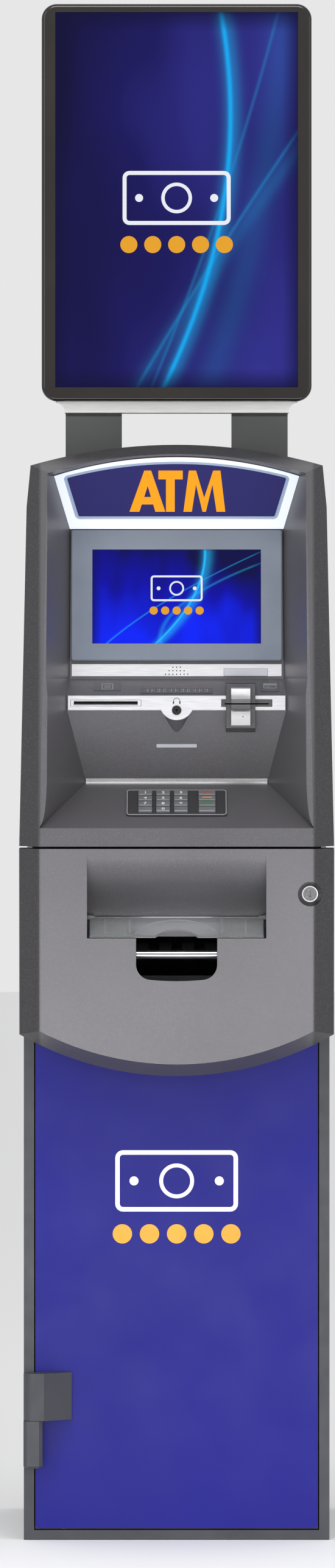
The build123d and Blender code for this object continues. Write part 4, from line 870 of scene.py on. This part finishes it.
bm = bmesh.new()
for side in (-1, 1):
    add_plate(bm, (side * 0.0845, 0.0235), (0.055, 0.043), 0.002, 0.0004)
finish_piece(bm, "flap_frosting", face_slope(*FLAP, 0, FROST_FACE), "outlet_flap", frosted)

bm = bmesh.new()
add_ring(bm, (0, -0.022), 0.062, 0.0016, 0.0006, sides=96)
bmesh.ops.bisect_plane(bm, geom=bm.verts[:] + bm.edges[:] + bm.faces[:], plane_co=(0, 0.003, 0),
                       plane_no=(0, -1, 0), clear_outer=True)
finish_piece(bm, "flap_arch", face_slope(*FLAP, 0, FLAP_FACE), "outlet_flap", frosted)
print("flap pieces", 3)

# %% [markdown]
# The door and both screens carry a mark. A real machine would show its owner's name; ours shows a
# plain banknote and coin, which says what the machine does and belongs to nobody. The mark is vinyl a third
# of a millimetre thick: a frame for the note, a ring for its medallion, and stacked coins in orange.

# %% Banknote mark
vinyl_white = coat("vinyl_white", (0.78, 0.78, 0.8), (0.86, 0.86, 0.88), (0.35, 0.45), 20, 1500, 0.00002, 0.2)
vinyl_orange = coat("vinyl_orange", (0.72, 0.32, 0.008), (0.8, 0.37, 0.012),
                    (0.35, 0.45), 20, 1500, 0.00002, 0.2)
screen_white = lit("screen_white", (0.85, 0.87, 0.95), (0.85, 0.87, 0.95), 0.8, 1.0, body=0.1)
screen_orange = lit("screen_orange", (0.78, 0.35, 0.012), (0.78, 0.35, 0.012), 0.85, 1.0, body=0.1)
VINYL = 0.0003


def note_mark(name, place, scale, body, white, orange):
    """A banknote outline over a row of coins, centred on the place."""
    bm = bmesh.new()
    add_frame(bm, (0, 0.2 * scale), (1.9 * scale, 0.95 * scale), 0.12 * scale, 0.07 * scale, VINYL)
    add_ring(bm, (0, 0.2 * scale), 0.27 * scale, 0.06 * scale, VINYL)
    for side in (-1, 1):
        add_disc(bm, (side * 0.66 * scale, 0.2 * scale), 0.07 * scale, VINYL)
    finish_piece(bm, name + "_note", place, body, white)
    bm = bmesh.new()
    for i in range(5):
        add_disc(bm, ((i - 2) * 0.42 * scale, -0.62 * scale), 0.15 * scale, VINYL)
    finish_piece(bm, name + "_coins", place, body, orange)


door_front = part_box("door_skin")[0][1]
note_mark("door", slope((0, door_front, 0.455), (0, 1)), 0.085, "safe_door",
          vinyl_white, vinyl_orange)
topper_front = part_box("topper_screen")[0][1]
note_mark("topper", slope((0, topper_front, 1.752), (0, 1)), 0.075, "machine",
          screen_white, screen_orange)
note_mark("display", face_slope(*SCREEN, 112.0, 5.02), 0.036, "upper_fascia",
          screen_white, screen_orange)
print("note marks", 3)

# %% [markdown]
# The lock stands in a round seat, and its bezel is turned with a bright rim that catches a ring of light. A
# disc inset once gives a flat ring, lifted by a third of a millimetre and laid on the bezel's face.

# %% Rim of the lock
ring_low, ring_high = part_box("fascia_lock_body")
lock_face = ((ring_low[0] + ring_high[0]) / 2, ring_low[1], (ring_low[2] + ring_high[2]) / 2)
bm = bmesh.new()
add_ring(bm, (0, 0), 0.0103, 0.0012, 0.0003)
finish_piece(bm, "lock_rim", slope(lock_face, (0, 1)), "lower_fascia", bright_trim)
print("lock rim at", [round(v, 3) for v in lock_face])

# %% [markdown]
# One dark line shows where each topper bracket tucks under the crossbar, where shade falls: a thin dark
# plate of painted shadow. It is a rounded plate with real thickness, so that it doesn't read as a drawn line.

# %% Painted shadow under the crossbar
bm = bmesh.new()
for side in (-1, 1):
    add_plate(bm, (side * 0.1095, 1.4815), (0.0736, 0.0022), 0.0006, 0.0012)
# The dark plates are painted shadow under the crossbar, in the rollers' near-black rubber finish.
finish_piece(bm, "crossbar_shadow_lines", slope((0, -0.1342, 0), (0, 1)), "machine", rubber_and_shadow_black)
print("bracket pads placed")
